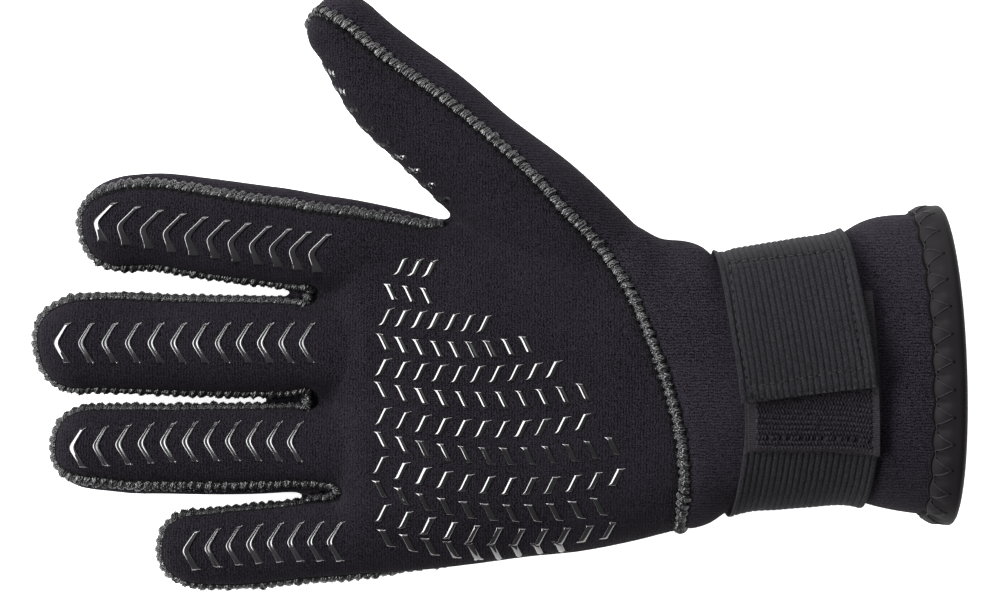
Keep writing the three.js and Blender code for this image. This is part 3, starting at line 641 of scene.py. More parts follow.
def finger_seam_path():
    path = [(*THUMB_CROTCH, CROTCH_Z)]
    path += seam_side(DIGITS["index"], 0, WEB_LINE["index"], THUMB_CROTCH[0] - 4)
    for name, web in zip(("index", "middle", "ring"), WEBS):
        path += round_tip(name, WEB_LINE[name]) + [web]
    path += round_tip("little", WEB_LINE["little"])
    path += seam_side(DIGITS["little"], 1, WEB_LINE["little"], EDGE_SEAM[0][0] - 3)[::-1]
    path += [hand_skin(x, angle) for x, angle in EDGE_SEAM]
    return resampled(path)


def thumb_seam_path():
    low = [hand_skin(WRIST_SEAM[-1][0], a) for a in (206, 196, 186)]
    across = [from_above(x, y)[0] for x, y in WRIST_SEAM[::-1]]
    return resampled(low + across + round_tip("thumb", THUMB_SEAM_X))


class Seam:
    """A seam's line laid on the skin, with the skin's direction and the way to the back sheet."""

    def __init__(self, path, rounds=6):
        path = path.copy()
        for _ in range(rounds):
            soften(path, 1)
            path = np.array([on_skin(p)[0] for p in path])
        normals = np.array([on_skin(p)[1] for p in path])
        soften(normals, 8)
        tangents = unit(np.gradient(path, axis=0))
        normals += np.multiply.outer(SEAM_LEAN * np.clip(1 + normals[:, 2] / 0.35, 0, 1), UP)
        normals = unit(normals - tangents * (normals * tangents).sum(axis=1)[:, None])
        self.path, self.normals = path, normals
        self.sides = np.cross(tangents, normals)
        self.gone = travelled(path)
        self.length = self.gone[-1]

    def at(self, along, across, up):
        """Points beside the seam: across is towards the back sheet, up is off the skin."""
        line, side, out = (np.column_stack([np.interp(along, self.gone, rows[:, k]) for k in range(3)])
                           for rows in (self.path, self.sides, self.normals))
        return line + side * np.asarray(across)[:, None] + out * np.asarray(up)[:, None]


def relief(mesh, change):
    """Moves the form's skin out by change, which is given its points and directions."""
    points = points_of(mesh)
    normals = np.empty(len(points) * 3)
    mesh.vertices.foreach_get("normal", normals)
    normals = normals.reshape(-1, 3)
    set_points(mesh, points + normals * change(points, normals)[:, None])


def pinch(points, normals):
    """The sheet is drawn in along the seams."""
    lines = np.vstack([seam.path for seam in SEAMS.values()])
    tree = KDTree(len(lines))
    for i, p in enumerate(lines):
        tree.insert(p, i)
    tree.balance()
    distance = np.array([tree.find(p)[2] for p in points])
    return -PINCH["depth"] * np.exp(-(distance / PINCH["reach"]) ** 2)


def dents(points, normals):
    """Soft hollows on the palm side."""
    change = np.zeros(len(points))
    for x, y, long, wide, turn, depth in DENTS:
        c, s = math.cos(math.radians(turn)), math.sin(math.radians(turn))
        dx, dy = points[:, 0] - x, points[:, 1] - y
        along, across = dx * c + dy * s, dy * c - dx * s
        change -= depth * np.exp(-(along / long) ** 2 - (across / wide) ** 2) * (normals[:, 2] > 0.2)
    return change


def wedge(finger):
    """From a finger's middle out past its skin, between its seams, through the palm side."""
    rings = []
    for i in range(0, len(finger.half), 2):
        if finger.centre[i, 0] <= THUMB_FREE_X:
            half, thick = (max(size[i], WEDGE["least"]) + WEDGE["past"]
                           for size in (finger.half, finger.thick))
            arc = np.linspace(*finger.seams[i], WEDGE["steps"])
            side, up = superellipse(arc, half, thick, FINGER_POWER)
            shift = finger.run[i] * WEDGE["reach"] + UP * TIP_LIFT
            heart = finger.centre[i] + shift * (1 - finger.closing[i])
            ring = heart + np.multiply.outer(side, finger.across[i]) + np.multiply.outer(up, UP)
            rings.append(np.vstack([heart, ring]))
    return loft(rings)


def palm_side():
    """The room of the palm's sheet: over the hem, inside the wrist's seam, and the fingers' wedges."""
    crotch_x, crotch_y = THUMB_CROTCH
    outline = [(-50, 6), (crotch_x - 6, 6), (crotch_x - 6, crotch_y - 4), THUMB_CROTCH]
    outline += WRIST_SEAM + [(WRIST_SEAM[-1][0], -90), (-50, -90)]
    flat = np.array([(x, y, 0.0) for x, y in outline])
    prism = np.vstack([flat, flat + UP * HEM["top"]])
    n = len(flat)
    walls = [[i, (i + 1) % n, (i + 1) % n + n, i + n] for i in range(n)]
    prism_faces = [list(range(n))[::-1], [i + n for i in range(n)], *walls]
    across = [HEM[k] for k in ("first", "first", "inner", "outer", "last", "last")]
    above = []
    for x, inner, outer in PALM_HEM:
        heights = (HEM["top"], inner, inner, outer, outer, HEM["top"])
        above.append(np.array([(x, y, z) for y, z in zip(across, heights)], float))
    side = outward(mesh_of(prism, prism_faces))
    side = cut(side, outward(mesh_of(*loft(above))), "INTERSECT")
    for finger in DIGITS.values():
        side = cut(side, outward(mesh_of(*wedge(finger))), "UNION")
    return side


# How far the seams draw the sheet in, and how far from them
PINCH = {"depth": 0.9, "reach": 2.3}
# How much the bead leans up from the skin
SEAM_LEAN = 1.5
# Wedges: their least size, how far past the skin and past the tip they reach, and their steps
WEDGE = {"least": 4, "past": 2, "reach": 2.5, "steps": 14}
# The hem across the hand: where it starts, where its two heights meet, where it ends, and the room's top
HEM = {"first": 56, "inner": -50, "outer": -62, "last": -95, "top": 60}
# Soft hollows: x, y, half length, half width, turn in degrees, depth
DENTS = [
    (105.0, -24.0, 12.0, 5.0, 80, 0.9), (66.0, -8.0, 22.0, 7.0, 70, 0.5),
    (-46.0, 1.0, 12.0, 5.0, 5, 0.9), (-46.0, -29.5, 12.0, 5.0, 0, 0.9),
    (-38.0, -55.5, 12.0, 5.0, 0, 0.9), (-4.0, 14.0, 22.0, 5.0, -50, 0.6),
]
BODY = glove_form(0.0, (150, 60), 0.84, 13, 0)
SURFACE = bvh_of(BODY)
SEAMS = {"finger_seam": Seam(finger_seam_path()), "thumb_seam": Seam(thumb_seam_path())}
relief(BODY, pinch)
relief(BODY, dents)
SURFACE = bvh_of(BODY)
SEAMS = {name: Seam(seam.path, 2) for name, seam in SEAMS.items()}
SHELL = cut(BODY, glove_form(-WALL, (72, 32), 2.0, 4, 20), "DIFFERENCE")
PALM_SIDE = palm_side()
piece("palm_sheet", cut(SHELL.copy(), PALM_SIDE.copy(), "INTERSECT"), [PALM_KNIT],
      ["palm_panel", *(name + "_front" for name in DIGITS)])
piece("back_sheet", cut(SHELL.copy(), PALM_SIDE.copy(), "DIFFERENCE"), [BACK_KNIT],
      ["back_panel", "gauntlet", *(name + "_back" for name in DIGITS)])


# Seams

# The overlock stitch: its pitch, half its width, its height, its threads and their radius, the share
# its filling takes, how far its threads spread, how its lobe rounds off, and how much lobes swell and
# slant and threads stray
OVERLOCK = {"pitch": 2.45, "reach": 1.72, "crown": 1.56, "threads": 5, "thread": 0.31, "core": 0.76,
            "spread": 0.32, "round_off": 0.18, "swell": 0.08, "slant": (0.35, 0.12),
            "stray": (0.10, 0.04, 0.05)}
# Painted shade of the needle holes beside the bead, near-black dashes: how far off, half their length and
# width, and how proud they lie
HOLE_SHADE_DASH = {"beside": 0.5, "long": 0.75, "wide": 0.36, "proud": 0.14}
# Painted shade along the fold beside the bead, a near-black tube: how far off, and its thickness
CREASE_SHADE = {"beside": 0.1, "radius": 0.3}


def core(seam):
    """The bead's filling, a low half-round rope."""
    arc = np.radians(np.linspace(-50, 230, 11))
    along = np.arange(0, seam.length, 1.2)
    across = OVERLOCK["reach"] * OVERLOCK["core"] * np.cos(arc)
    up = OVERLOCK["crown"] * OVERLOCK["core"] * np.sin(arc)
    columns = [seam.at(along, np.full(len(along), a), np.full(len(along), u)) for a, u in zip(across, up)]
    return loft(list(np.stack(columns, axis=1)))


def wraps(seam):
    """One lobe a stitch: threads side by side that cross the bead at a slant, the outer ones lower."""
    pitch, count = OVERLOCK["pitch"], OVERLOCK["threads"]
    arc = np.radians(np.linspace(-45, 215, 10))
    stitches = int(seam.length / pitch)
    swell = RNG.normal(1, OVERLOCK["swell"], stitches)
    slant = RNG.normal(*OVERLOCK["slant"], stitches)
    made = []
    for k in range(stitches):
        for j, place in enumerate(np.linspace(-1, 1, count)):
            stray, lift, start = RNG.normal(0, OVERLOCK["stray"])
            size = swell[k] * (1 - OVERLOCK["round_off"] * place * place) + lift
            along = pitch * (k + 0.5 + OVERLOCK["spread"] * place)
            along = along + slant[k] * np.cos(arc) + stray * np.sin(2 * arc)
            across = -OVERLOCK["reach"] * size * np.cos(arc) + start
            up = OVERLOCK["crown"] * size * np.sin(arc)
            made.append(tube(seam.at(np.clip(along, 0, seam.length), across, up), OVERLOCK["thread"], 3))
    return made


def needle_hole_shade(seam):
    """Short near-black dashes of painted shade where the needle thread draws the palm's sheet in beside
    the bead.
    """
    made = []
    turn = around(8)
    beside = -OVERLOCK["reach"] - HOLE_SHADE_DASH["beside"]
    for along in np.arange(1, seam.length - 1, OVERLOCK["pitch"]):
        long = HOLE_SHADE_DASH["long"] * RNG.uniform(0.7, 1.2)
        ends = seam.at([along - 0.5, along + 0.5], [beside, beside], [0.5, 0.5])
        middle, out = on_skin(ends.mean(axis=0))
        run = unit(ends[1] - ends[0])
        side = np.cross(run, out)
        ring = middle + np.outer(long * np.cos(turn), run) + np.outer(HOLE_SHADE_DASH["wide"] * np.sin(turn), side)
        made.append(loft([ring - 0.5 * out, ring + HOLE_SHADE_DASH["proud"] * out]))
    return made


def crease_shade(seam):
    """A near-black tube of painted shade along the fold where the palm's sheet meets the bead."""
    along = np.arange(0.5, seam.length - 0.5, 1.0)
    beside = np.full(len(along), -OVERLOCK["reach"] - CREASE_SHADE["beside"])
    return tube([on_skin(p)[0] for p in seam.at(along, beside, 0 * along + 0.5)], CREASE_SHADE["radius"], 5)


for name, seam in SEAMS.items():
    joined(name + "_thread", [core(seam), *wraps(seam)], [THREAD], [name])
    # Painted shade: dark dashes at the needle holes and a dark tube along the fold beside each bead.
    joined(name + "_hole_shade", [crease_shade(seam), *needle_hole_shade(seam)], [HOLE_SHADE])


# Silicone grip

GRIP = {"height": 0.5, "flare": 0.6, "root": 0.5, "roll": 3.0}
# How much the first chevrons of a row face the fingertip, in degrees
FACING = (1, 8, 4)
# A ridge's section from its fingertip side: the place, and its height in each profile. Sunk has a
# hollow between two rims
PROFILES = {"round": 1, "sunk": 2, "flat": 3}
SECTION = [
    (-1.0, 0.0, 0.0, 0.0), (-0.96, 0.5, 0.5, 0.6), (-0.82, 0.66, 0.66, 0.85), (-0.66, 0.76, 0.79, 0.94),
    (-0.5, 0.84, 0.85, 0.98), (-0.38, 0.9, 0.8, 1.0), (-0.2, 0.97, 0.56, 1.0), (0.0, 1.0, 0.44, 1.0),
    (0.12, 1.0, 0.44, 1.0), (0.28, 0.98, 0.54, 1.0), (0.46, 0.9, 0.82, 0.99), (0.6, 0.78, 0.84, 0.96),
    (0.8, 0.56, 0.6, 0.85), (0.96, 0.33, 0.35, 0.6), (1.0, 0.0, 0.0, 0.0),
]
# Rows of chevrons as the camera sees them: their first and last points, how far the row's middle
# bulges, their number, and the ends of their two arms from the point
CHEVRONS = {
    "index": ((-113.3, 20.6), (-53.1, 11.9), (1.5, -0.5), 11, ((5.3, 5.4), (2.5, -5.6))),
    "middle": ((-124.5, -13.3), (-55.9, -13.3), (1.5, 0.0), 12, ((3.5, 5.6), (3.5, -5.6))),
    "ring": ((-120.1, -42.6), (-59.2, -41.0), (1.1, 0.9), 11, ((3.5, 5.6), (3.5, -5.6))),
    "little": ((-88.3, -71.4), (-48.0, -69.0), (0.5, 0.8), 8, ((3.6, 5.6), (3.4, -5.4))),
}
# How wide a chevron is at its upper end, its point and its lower end, its profile, and how much the
# ends of its arms face the fingertip, in degrees
CHEVRON_SHAPE = {"index": (1.1, 1.8, 2.9, "flat", 5, -18), "middle": (1.1, 1.9, 1.8, "sunk", 0, -8),
                 "ring": (1.1, 1.9, 1.6, "sunk", 0, -4), "little": (1.1, 1.9, 1.8, "sunk", 0, -8)}
THUMB_CHEVRONS = {"first": 14.5, "pitch": 5.75, "count": 9, "angle": 175, "spread": 30, "sweep": 4.2,
                  "width": 1.3, "height": 0.35, "glossy": (0, 1, 5, 6, 7)}
# Rows of slanting bars: which way they lean, their first place, number, pitch, and the row's sag and rise
PALM_ROWS = [
    (1, -27.2, 8.1, 3, 4.02, 0.0, -0.6), (-1, -30.1, 1.0, 3, 5.01, 0.0, -1.1),
    (1, -31.4, -5.9, 7, 4.54, 0.1, -1.9), (-1, -31.9, -12.8, 9, 4.9, 1.8, -0.7),
    (1, -32.2, -19.8, 10, 5.21, 1.6, -0.4), (-1, -32.5, -26.1, 11, 5.55, 2.5, -0.3),
    (1, -32.2, -33.3, 11, 5.48, 2.7, -1.3), (-1, -32.5, -39.9, 12, 5.77, 3.6, -1.2),
    (1, -33.0, -46.8, 12, 5.9, 4.0, -2.9), (-1, -33.0, -53.6, 11, 6.02, 3.9, -4.4),
    (1, -32.4, -60.2, 11, 6.24, 4.0, -4.7), (-1, -31.5, -67.3, 9, 6.07, 2.1, -3.3),
]
PALM_BAR = {"reach": 2.45, "slant": 1.15, "hook": 0.25, "hem": 1.2, "width": 1.75}


def ridge(places, direction, widths, profile="round", facing=0.0, height=GRIP["height"]):
    """A low ridge of silicone through places on the skin, cut along direction and flared at its ends."""
    share = np.abs(np.linspace(-1, 1, len(places)))
    wide = np.asarray(widths) / 2 + GRIP["flare"] * 0.75 * np.clip((share - 0.78) / 0.22, 0, 1) ** 1.5
    tall = height * (1 - 0.5 * np.clip((share - 0.8) / 0.2, 0, 1) ** 2)
    section = np.array(SECTION)
    places_across, heights = section[:, 0], section[:, PROFILES[profile]]
    rolls = np.tan(np.radians(facing + RNG.normal(0, GRIP["roll"]) + np.zeros(len(places))))
    rings = []
    for (p, out), w, t, roll in zip(places, wide, tall, rolls):
        side = unit(direction - out * (direction @ out))
        top = (p + np.multiply.outer(places_across * w, side)
               + np.multiply.outer(heights * t - 0.05 + places_across * w * roll * (heights > 0), out))
        root = p - out * GRIP["root"]
        rings.append(np.vstack([top[::-1], root - side * w, root + side * w]))
    return loft(rings)


def row_of(first, last, bulge, count):
    """Evenly spaced places whose middle bulges."""
    share = np.linspace(0, 1, count)[:, None]
    first, last, bulge = map(np.array, (first, last, bulge))
    return first + (last - first) * share + 4 * bulge * share * (1 - share)


def finger_chevrons():
    made = []
    for name, (first, last, bulge, count, arms) in CHEVRONS.items():
        direction = unit(np.array([last[0] - first[0], last[1] - first[1], 0.0]))
        *widths, profile, upper, lower = CHEVRON_SHAPE[name]
        arms = np.array(arms)
        for k, point in enumerate(row_of(first, last, bulge, count)):
            shares = np.linspace(1, 0, 12)[:, None]
            line = np.vstack([point + arms[0] * shares, (point + arms[1] * shares[:-1])[::-1]])
            soften(line, 5)
            line[0] += [0.35, 0.1]
            along = np.interp(np.linspace(0, 2, len(line)), (0, 1, 2), widths) * RNG.uniform(0.9, 1.1)
            facing = np.interp(np.linspace(0, 2, len(line)), (0, 1, 2), (upper, 0, lower))
            facing += FACING[k] if k < len(FACING) else 0
            places = [sight(*p) for p in line]
            made.append(ridge(places, direction, along, profile if k else "flat", facing))
    return made


def thumb_chevrons():
    """The thumb's chevrons, and the glossy ends of some of them."""
    thumb, row = DIGITS["thumb"], THUMB_CHEVRONS
    made, ends = [], []
    for k, from_tip in enumerate(row["first"] + row["pitch"] * np.arange(row["count"])):
        places = []
        for share in np.linspace(-1, 1, 15):
            i = int(np.argmin(np.abs(thumb.from_tip - from_tip - abs(share) * row["sweep"])))
            places.append(on_skin(thumb.skin(i, row["angle"] + share * row["spread"])))
        made.append(ridge(places, thumb.run[i], row["width"], height=row["height"]))
        if k in row["glossy"]:
            ends.append(ridge(places[:4], thumb.run[i], row["width"]))
    return made, ends


def palm_bars():
    made = []
    for turn, x, y, count, pitch, sag, rise in PALM_ROWS:
        for cx, cy in row_of((x, y), (x + pitch * (count - 1), y + rise), (0, -sag), count):
            places = []
            lowest = hand_row(cx)[2] + PALM_BAR["hem"]
            for t in np.linspace(-1, 1, 13):
                swing = turn * (PALM_BAR["slant"] * t + PALM_BAR["hook"] * t ** 5)
                places.append(from_above(cx + swing, max(cy + PALM_BAR["reach"] * t, lowest)))
            width = PALM_BAR["width"] * RNG.uniform(0.85, 1.15)
            made.append(ridge(places, np.array([1.0, 0.0, 0.0]), width))
    return made


fingers, (thumb_marks, thumb_ends) = finger_chevrons(), thumb_chevrons()
joined("silicone_grip", fingers + thumb_ends, [SILICONE])
joined("palm_grip", palm_bars(), [SHADED_PALM_SILICONE])
# The thumb's side ridges in the darker copy of the silicone: painted shade.
joined("thumb_grip", thumb_marks, [DULL_SHADED_SILICONE])


# Strap and closure

# The elastic: its rings, ribs and columns to a rib, its plain border and its edge in shares of half its
# width, the angle from which its tab lies on the closure, and how far its end dips
STRAP = {"width": 36.1, "thick": 1.4, "rings": 430, "ribs": 22, "columns": 8, "rib_depth": 0.28,
         "border": 0.955, "border_depth": 0.12, "edge": 0.985, "edge_width": 0.015, "edge_depth": 0.5,
         "tab": 370, "end_depth": 0.3}
# Angle round the wrist, middle of the band, lift off the glove, and how far the ends of a
# crossing line lead and lag in degrees
STRAP_ROWS = [
    (68, 83.7, 0.5, 0.3), (110, 83.8, 0.5, 0.3), (135, 82.1, 0.5, 0.3), (160, 80.6, 0.5, 0.3),
    (180, 79.9, 0.5, 0.3), (270, 79.4, 0.5, 0.3), (360, 78.3, 0.5, 0.3), (375, 78.2, 1.2, 0.3),
    (405, 79.2, 4.6, 0.3), (425, 80.4, 4.9, 0.3), (455.2, 82.9, 4.9, 0.3),
]
LOOP_ROWS = [(57.2, 84.0, 2.2, -7.0), (88, 84.1, 2.2, -4.2), (119.1, 83.9, 2.2, -2.9)]
# The loop tape: its rings and columns, the pitch of its rows and of the loops in a row, how far the loops
# sway and stray, the gap near its end, the weave of its plain edges, and the length that has ravelled
LOOP = {"width": 34.7, "thick": 0.9, "rings": 340, "columns": 181, "pitch": 1.38, "chain": 0.86,
        "pile": 0.65, "sway": 0.32, "stray": 0.11, "gap_at": 3.5, "gap_width": 0.55, "gap_depth": 0.55,
        "selvedge": 0.87, "weave": 0.1, "weave_pitch": 0.56, "ravelled": 1.5}
HOOK_ROWS = [(56, 82.2, 3.7, 0), (91, 82.2, 3.7, 0)]
HOOK = {"width": 31, "thick": 0.9}
# The tab's box of stitches, as the camera sees its corners
STITCH_BOX = [
    (64.3, 9.1), (96.0, 12.7), (99.8, -10.0), (102.3, -20.2), (69.6, -25.6), (66.6, -10.0), (64.3, 9.1),
]
SEWING = {"stitch": 1.7, "gap": 1.0, "thread": 0.2, "sink": 0.14, "groove": 0.36, "groove_width": 0.5,
          "hole_shade": 0.36}
# The fold at the tab's lower left corner
FOLD = {"from": (67.9, -24.4), "to": (73.4, -30.6), "depth": 0.5, "width": 0.5}


def over_wrist(rows, width, angles, shares, heights=0.0):
    """A grid of places on a band: angles round the wrist by shares of its half width."""
    table = np.array(rows, float)
    line = smooth(table[:, 0], table, angles)
    angle, middle, lift, lead = (line[:, k:k + 1] for k in range(4))
    return hand_skin(middle + shares * width / 2, angle - lead * shares, lift + heights)


def band(rows, width, thick, along, shares, heights):
    """A closed band. heights are added to its outer face."""
    angles = np.linspace(rows[0][0], rows[-1][0], along)
    outer = over_wrist(rows, width, angles, shares, thick + heights)
    inner = over_wrist(rows, width, angles, shares[::-12], 0.0)
    return loft(list(np.concatenate([outer, inner], axis=1)))


def runs(rows, along):
    """How far round the wrist each of a band's rings lies, in millimetres."""
    middle = over_wrist(rows, 0, np.linspace(rows[0][0], rows[-1][0], along), np.zeros(1))[:, 0]
    return travelled(middle)


def near_line(points, corners):
    """Each point's distance from a line through corners, seen from above."""
    best = np.full(len(points), np.inf)
    for a, b in zip(np.array(corners[:-1]), np.array(corners[1:])):
        run = b - a
        share = np.clip(((points - a) @ run) / (run @ run), 0, 1)
        best = np.minimum(best, np.linalg.norm(points - a - share[:, None] * run, axis=1))
    return best


def as_seen(points):
    """Where the camera sees points, on the focus plane."""
    return points[..., :2] * ((CAMERA_Z - FOCUS_Z) / (CAMERA_Z - points[..., 2:3]))


def paint(mesh, ring, chosen):
    """Gives the second material to chosen faces of a band's outer face, by place along and across."""
    for polygon in mesh.polygons:
        row, column = divmod(polygon.vertices[0], ring)
        if row < len(chosen) and column < chosen.shape[1] - 1 and chosen[row, column]:
            polygon.material_index = 1


def elastic_strap():
    along, ribs, columns = STRAP["rings"], STRAP["ribs"], STRAP["columns"]
    shares = np.linspace(-1, 1, ribs * columns + 1)
    profile = -STRAP["rib_depth"] * (0.5 + 0.5 * np.cos((shares + 1) * math.pi * ribs)) ** 6
    profile = np.where(np.abs(shares) > STRAP["border"], -STRAP["border_depth"], profile)
    past_edge = np.clip((np.abs(shares) - STRAP["edge"]) / STRAP["edge_width"], 0, 1)
    profile -= STRAP["edge_depth"] * past_edge
    heights = np.tile(profile, (along, 1))
    angles = np.linspace(STRAP_ROWS[0][0], STRAP_ROWS[-1][0], along)
    tab = angles > STRAP["tab"]
    places = over_wrist(STRAP_ROWS, STRAP["width"], angles[tab], shares, STRAP["thick"])
    seen = as_seen(places).reshape(-1, 2)
    for line, depth, width in ((STITCH_BOX, SEWING["groove"], SEWING["groove_width"]),
                               ([FOLD["from"], FOLD["to"]], FOLD["depth"], FOLD["width"])):
        heights[tab] -= depth * np.exp(-(near_line(seen, line).reshape(places.shape[:2]) / width) ** 2)
    heights[-2:] -= STRAP["end_depth"]
    mesh = mesh_of(*band(STRAP_ROWS, STRAP["width"], STRAP["thick"], along, shares, heights))
    # The deepest faces of the grooves get the darker copy of the elastic: painted shade.
    step = np.arange(len(shares)) % columns
    groove_shade_faces = ((step == 0) | (step == columns - 1)) & (np.abs(shares) < STRAP["border"])
    paint(mesh, len(shares) + len(shares[::-12]), np.tile(groove_shade_faces, (along, 1)))
    return mesh


def loop_tape():
    """Rows of looped pile between two plain woven edges."""
    along, across = LOOP["rings"], LOOP["columns"]
    shares = np.linspace(-1, 1, across)
    run = runs(LOOP_ROWS, along)[:, None]
    side = shares * LOOP["width"] / 2
    row = run / LOOP["pitch"]
    sway = LOOP["sway"] * np.sign(np.sin(math.pi * np.floor(row + 0.25) + 0.5))
    tufts = np.abs(np.sin(math.pi * (side / LOOP["chain"] + sway * 2 * (row - np.floor(row)))))
    pile = LOOP["pile"] * np.abs(np.sin(math.pi * row)) ** 0.6 * (0.3 + 0.7 * tufts)
    pile = pile + RNG.normal(0, LOOP["stray"], (along, across))
    missing = np.sin(side * 3.5) + np.sin(side * 2.1 + 2) > 0.2
    from_end = run[-1] - run
    pile -= LOOP["gap_depth"] * np.exp(-((from_end - LOOP["gap_at"]) / LOOP["gap_width"]) ** 2) * missing
    edge = np.clip((np.abs(shares) - LOOP["selvedge"]) / 0.02, 0, 1)
    weave = LOOP["weave"] * np.sin(2 * math.pi * run / LOOP["weave_pitch"])
    end = 0.35 * np.exp(-(from_end / 0.7) ** 2)
    heights = pile * (1 - edge) * (1 - np.clip(end * 3, 0, 1)) + (weave + 0.12) * edge
    mesh = mesh_of(*band(LOOP_ROWS, LOOP["width"], LOOP["thick"], along, shares, heights))
    ravelled = (from_end < LOOP["ravelled"]) & (RNG.random((along, across)) > 0.2)
    paint(mesh, across + len(shares[::-12]), (np.abs(shares) > LOOP["selvedge"]) | ravelled)
    return mesh


def sewn(corners, surface):
    """Short threads along a line seen from above, and near-black discs of painted shade at the needle
    holes between them.
    """
    threads, hole_shades = [], []
    turn, arches = around(6), np.sin(np.linspace(0, math.pi, 7))
    for a, b in zip(np.array(corners[:-1]), np.array(corners[1:])):
        count = max(1, round(np.linalg.norm(b - a) / (SEWING["stitch"] + SEWING["gap"])))
        for k in range(count):
            line = []
            for share, arch in zip((k + np.linspace(0.2, 0.8, 7)) / count, arches):
                p, out = sight(*(a + (b - a) * share), surface)
                line.append(p + out * (SEWING["sink"] * (2 * arch - 1)))
            threads.append(tube(line, SEWING["thread"], 5))
            p, out = sight(*(a + (b - a) * k / count), surface)
            ring = np.column_stack([np.cos(turn), np.sin(turn), 0 * turn]) * SEWING["hole_shade"]
            hole_shades.append(loft([p + ring - out * 0.4, p + ring + out * 0.05]))
    return threads, hole_shades


def frayed_edge(rows, width, height, count, reach):
    """Loose thread ends along a band's last edge."""
    made = []
    shares = np.sort(RNG.uniform(-0.98, 0.98, count))
    lengths, leans = RNG.uniform(0.3, 1.0, count) * reach, RNG.normal(0, 0.9, count)
    ends = over_wrist(rows, width, np.array([rows[-1][0] - 3, rows[-1][0]]), shares, height)
    for back, root, length, lean in zip(ends[0], ends[1], lengths, leans):
        t = np.linspace(0, 1, 4)[:, None]
        places = root + unit(root - back) * (length * t - 0.5 * (1 - t))
        made.append(tube(places + np.array([lean, 0, -0.1]) * length * t, 0.09))
    return made


strap_mesh = elastic_strap()
piece("elastic_strap", strap_mesh, [ELASTIC, GROOVE_SHADE], ["wrist_strap"])
threads, hole_shades = sewn(STITCH_BOX, bvh_of(strap_mesh))
joined("strap_stitching", threads, [STITCH])
# Dark discs of painted shade in the strap's needle holes.
joined("strap_hole_shade", hole_shades, [HOLE_SHADE])
piece("loop_tape", loop_tape(), [LOOPS, SELVEDGE], ["loop_patch"])
loop_ends = frayed_edge(LOOP_ROWS, LOOP["width"], LOOP["thick"] * 0.7, 260, 0.8)
joined("loop_fray", loop_ends, [SELVEDGE])
strap_ends = frayed_edge(STRAP_ROWS, STRAP["width"], STRAP["thick"] * 0.6, 90, 0.4)
joined("strap_fray", strap_ends, [ELASTIC])
hook_band = band(HOOK_ROWS, HOOK["width"], HOOK["thick"], 40, np.linspace(-1, 1, 61), 0.0)
joined("hook_tape", [hook_band], [HOOKS], ["hook_patch"])


# Cuff binding

# The binding: its width, its thickness at the cuff, by its inner edge and underneath, how high that edge
# starts, how it puffs up between the stitches and where, how its edge waves, and a stitch's steps
BINDING = {"width": 6.8, "top": 2.1, "start": 0.75, "under": 2.0, "lip": 0.2, "puff": 0.75, "puff_at": 0.3,
           "puff_reach": 0.24, "scallop": 0.8, "steps": 16}
# The zigzag: its pitch, where one of its feet lies, how far its points reach over the strip, its thread,
# the size of its holes' near-black discs of painted shade, where in a stitch its two legs start, meet and
# end, and the thickness of the dark tube of painted shade along the strip's inner edge
ZIGZAG = {"pitch": 7.6, "foot_y": -14.2, "reach": 0.72, "thread": 0.17, "hole_shade": 0.42,
          "legs": (0.15, 0.47, 0.85), "crease_shade": 0.4}


def by_cuff(degrees, along, off):
    """Places by the cuff: along is past its edge, off is off the skin."""
    degrees, along, off = np.broadcast_arrays(*(np.asarray(v, float) for v in (degrees, along, off)))
    _, thumb_y, little_y, _, _, _, lean = HAND[-1]
    places = hand_skin(CUFF_X + np.minimum(0, along), degrees, off)
    places[..., 0] = CUFF_X + along + leaning(CUFF_X, places[..., 1] - (thumb_y + little_y) / 2, lean)
    return places


def cuff_round():
    """Angles at even steps round the cuff from a foot of the zigzag, and the number of stitches."""
    angles = np.linspace(0, 360, 2001)
    ring = by_cuff(angles, 0.0, BINDING["top"])
    gone = travelled(ring)
    upper = (angles > 30) & (angles < 150)
    start = gone[upper][np.argmin(np.abs(ring[upper, 1] - ZIGZAG["foot_y"]))]
    count = round(gone[-1] / ZIGZAG["pitch"])
    steps = around(count * BINDING["steps"], gone[-1])
    return np.interp((start + steps) % gone[-1], gone, angles), count


ROUND, STITCH_COUNT = cuff_round()


def strip_top(phase, share):
    """The strip's outer face: share runs from its inner edge to the cuff, phase counts stitches."""
    bulge = np.abs(np.sin(math.pi * phase))
    along = -BINDING["width"] * (1 - share) - BINDING["scallop"] * (bulge - 0.5) * (1 - share) ** 2
    wall = np.clip(share / 0.012, 0, 1)
    rise = BINDING["start"] + (BINDING["top"] - BINDING["start"]) * np.clip(share / 0.6, 0, 1) ** 0.8
    puff = BINDING["puff"] * (bulge - 0.4)
    puff = puff * np.exp(-((share - BINDING["puff_at"]) / BINDING["puff_reach"]) ** 2)
    return along, BINDING["lip"] + (rise - BINDING["lip"] + puff) * wall


def binding():
    """The strip as a closed band: over the cuff, round its edge and back underneath."""
    phase = np.arange(len(ROUND)) / BINDING["steps"]
    shares = (0, 0.01, 0.04, 0.09, 0.16, 0.24, 0.33, 0.43, 0.54, 0.66, 0.8, 0.92)
    columns = [strip_top(phase, share) for share in shares]
    for turn in np.radians(np.linspace(80, -80, 9)):
        roll = -WALL / 2 + (WALL / 2 + BINDING["top"]) * math.sin(turn)
        columns.append((0.2 + 1.9 * math.cos(turn), roll))
    width, under = BINDING["width"], -WALL - BINDING["under"]
    columns += [(-0.2 * width, under), (-0.8 * width, under), (-width, under + 0.6)]
    columns += [(-width, -WALL - 0.3), (0.3, -WALL - 0.3), (0.3, 0.25)]
    grid = np.stack([by_cuff(ROUND, along, off) for along, off in columns], axis=1)
    points = grid.reshape(-1, 3)
    faces = np.array(grid_faces(len(grid) + 1, grid.shape[1])) % len(points)
    return points, faces.tolist()


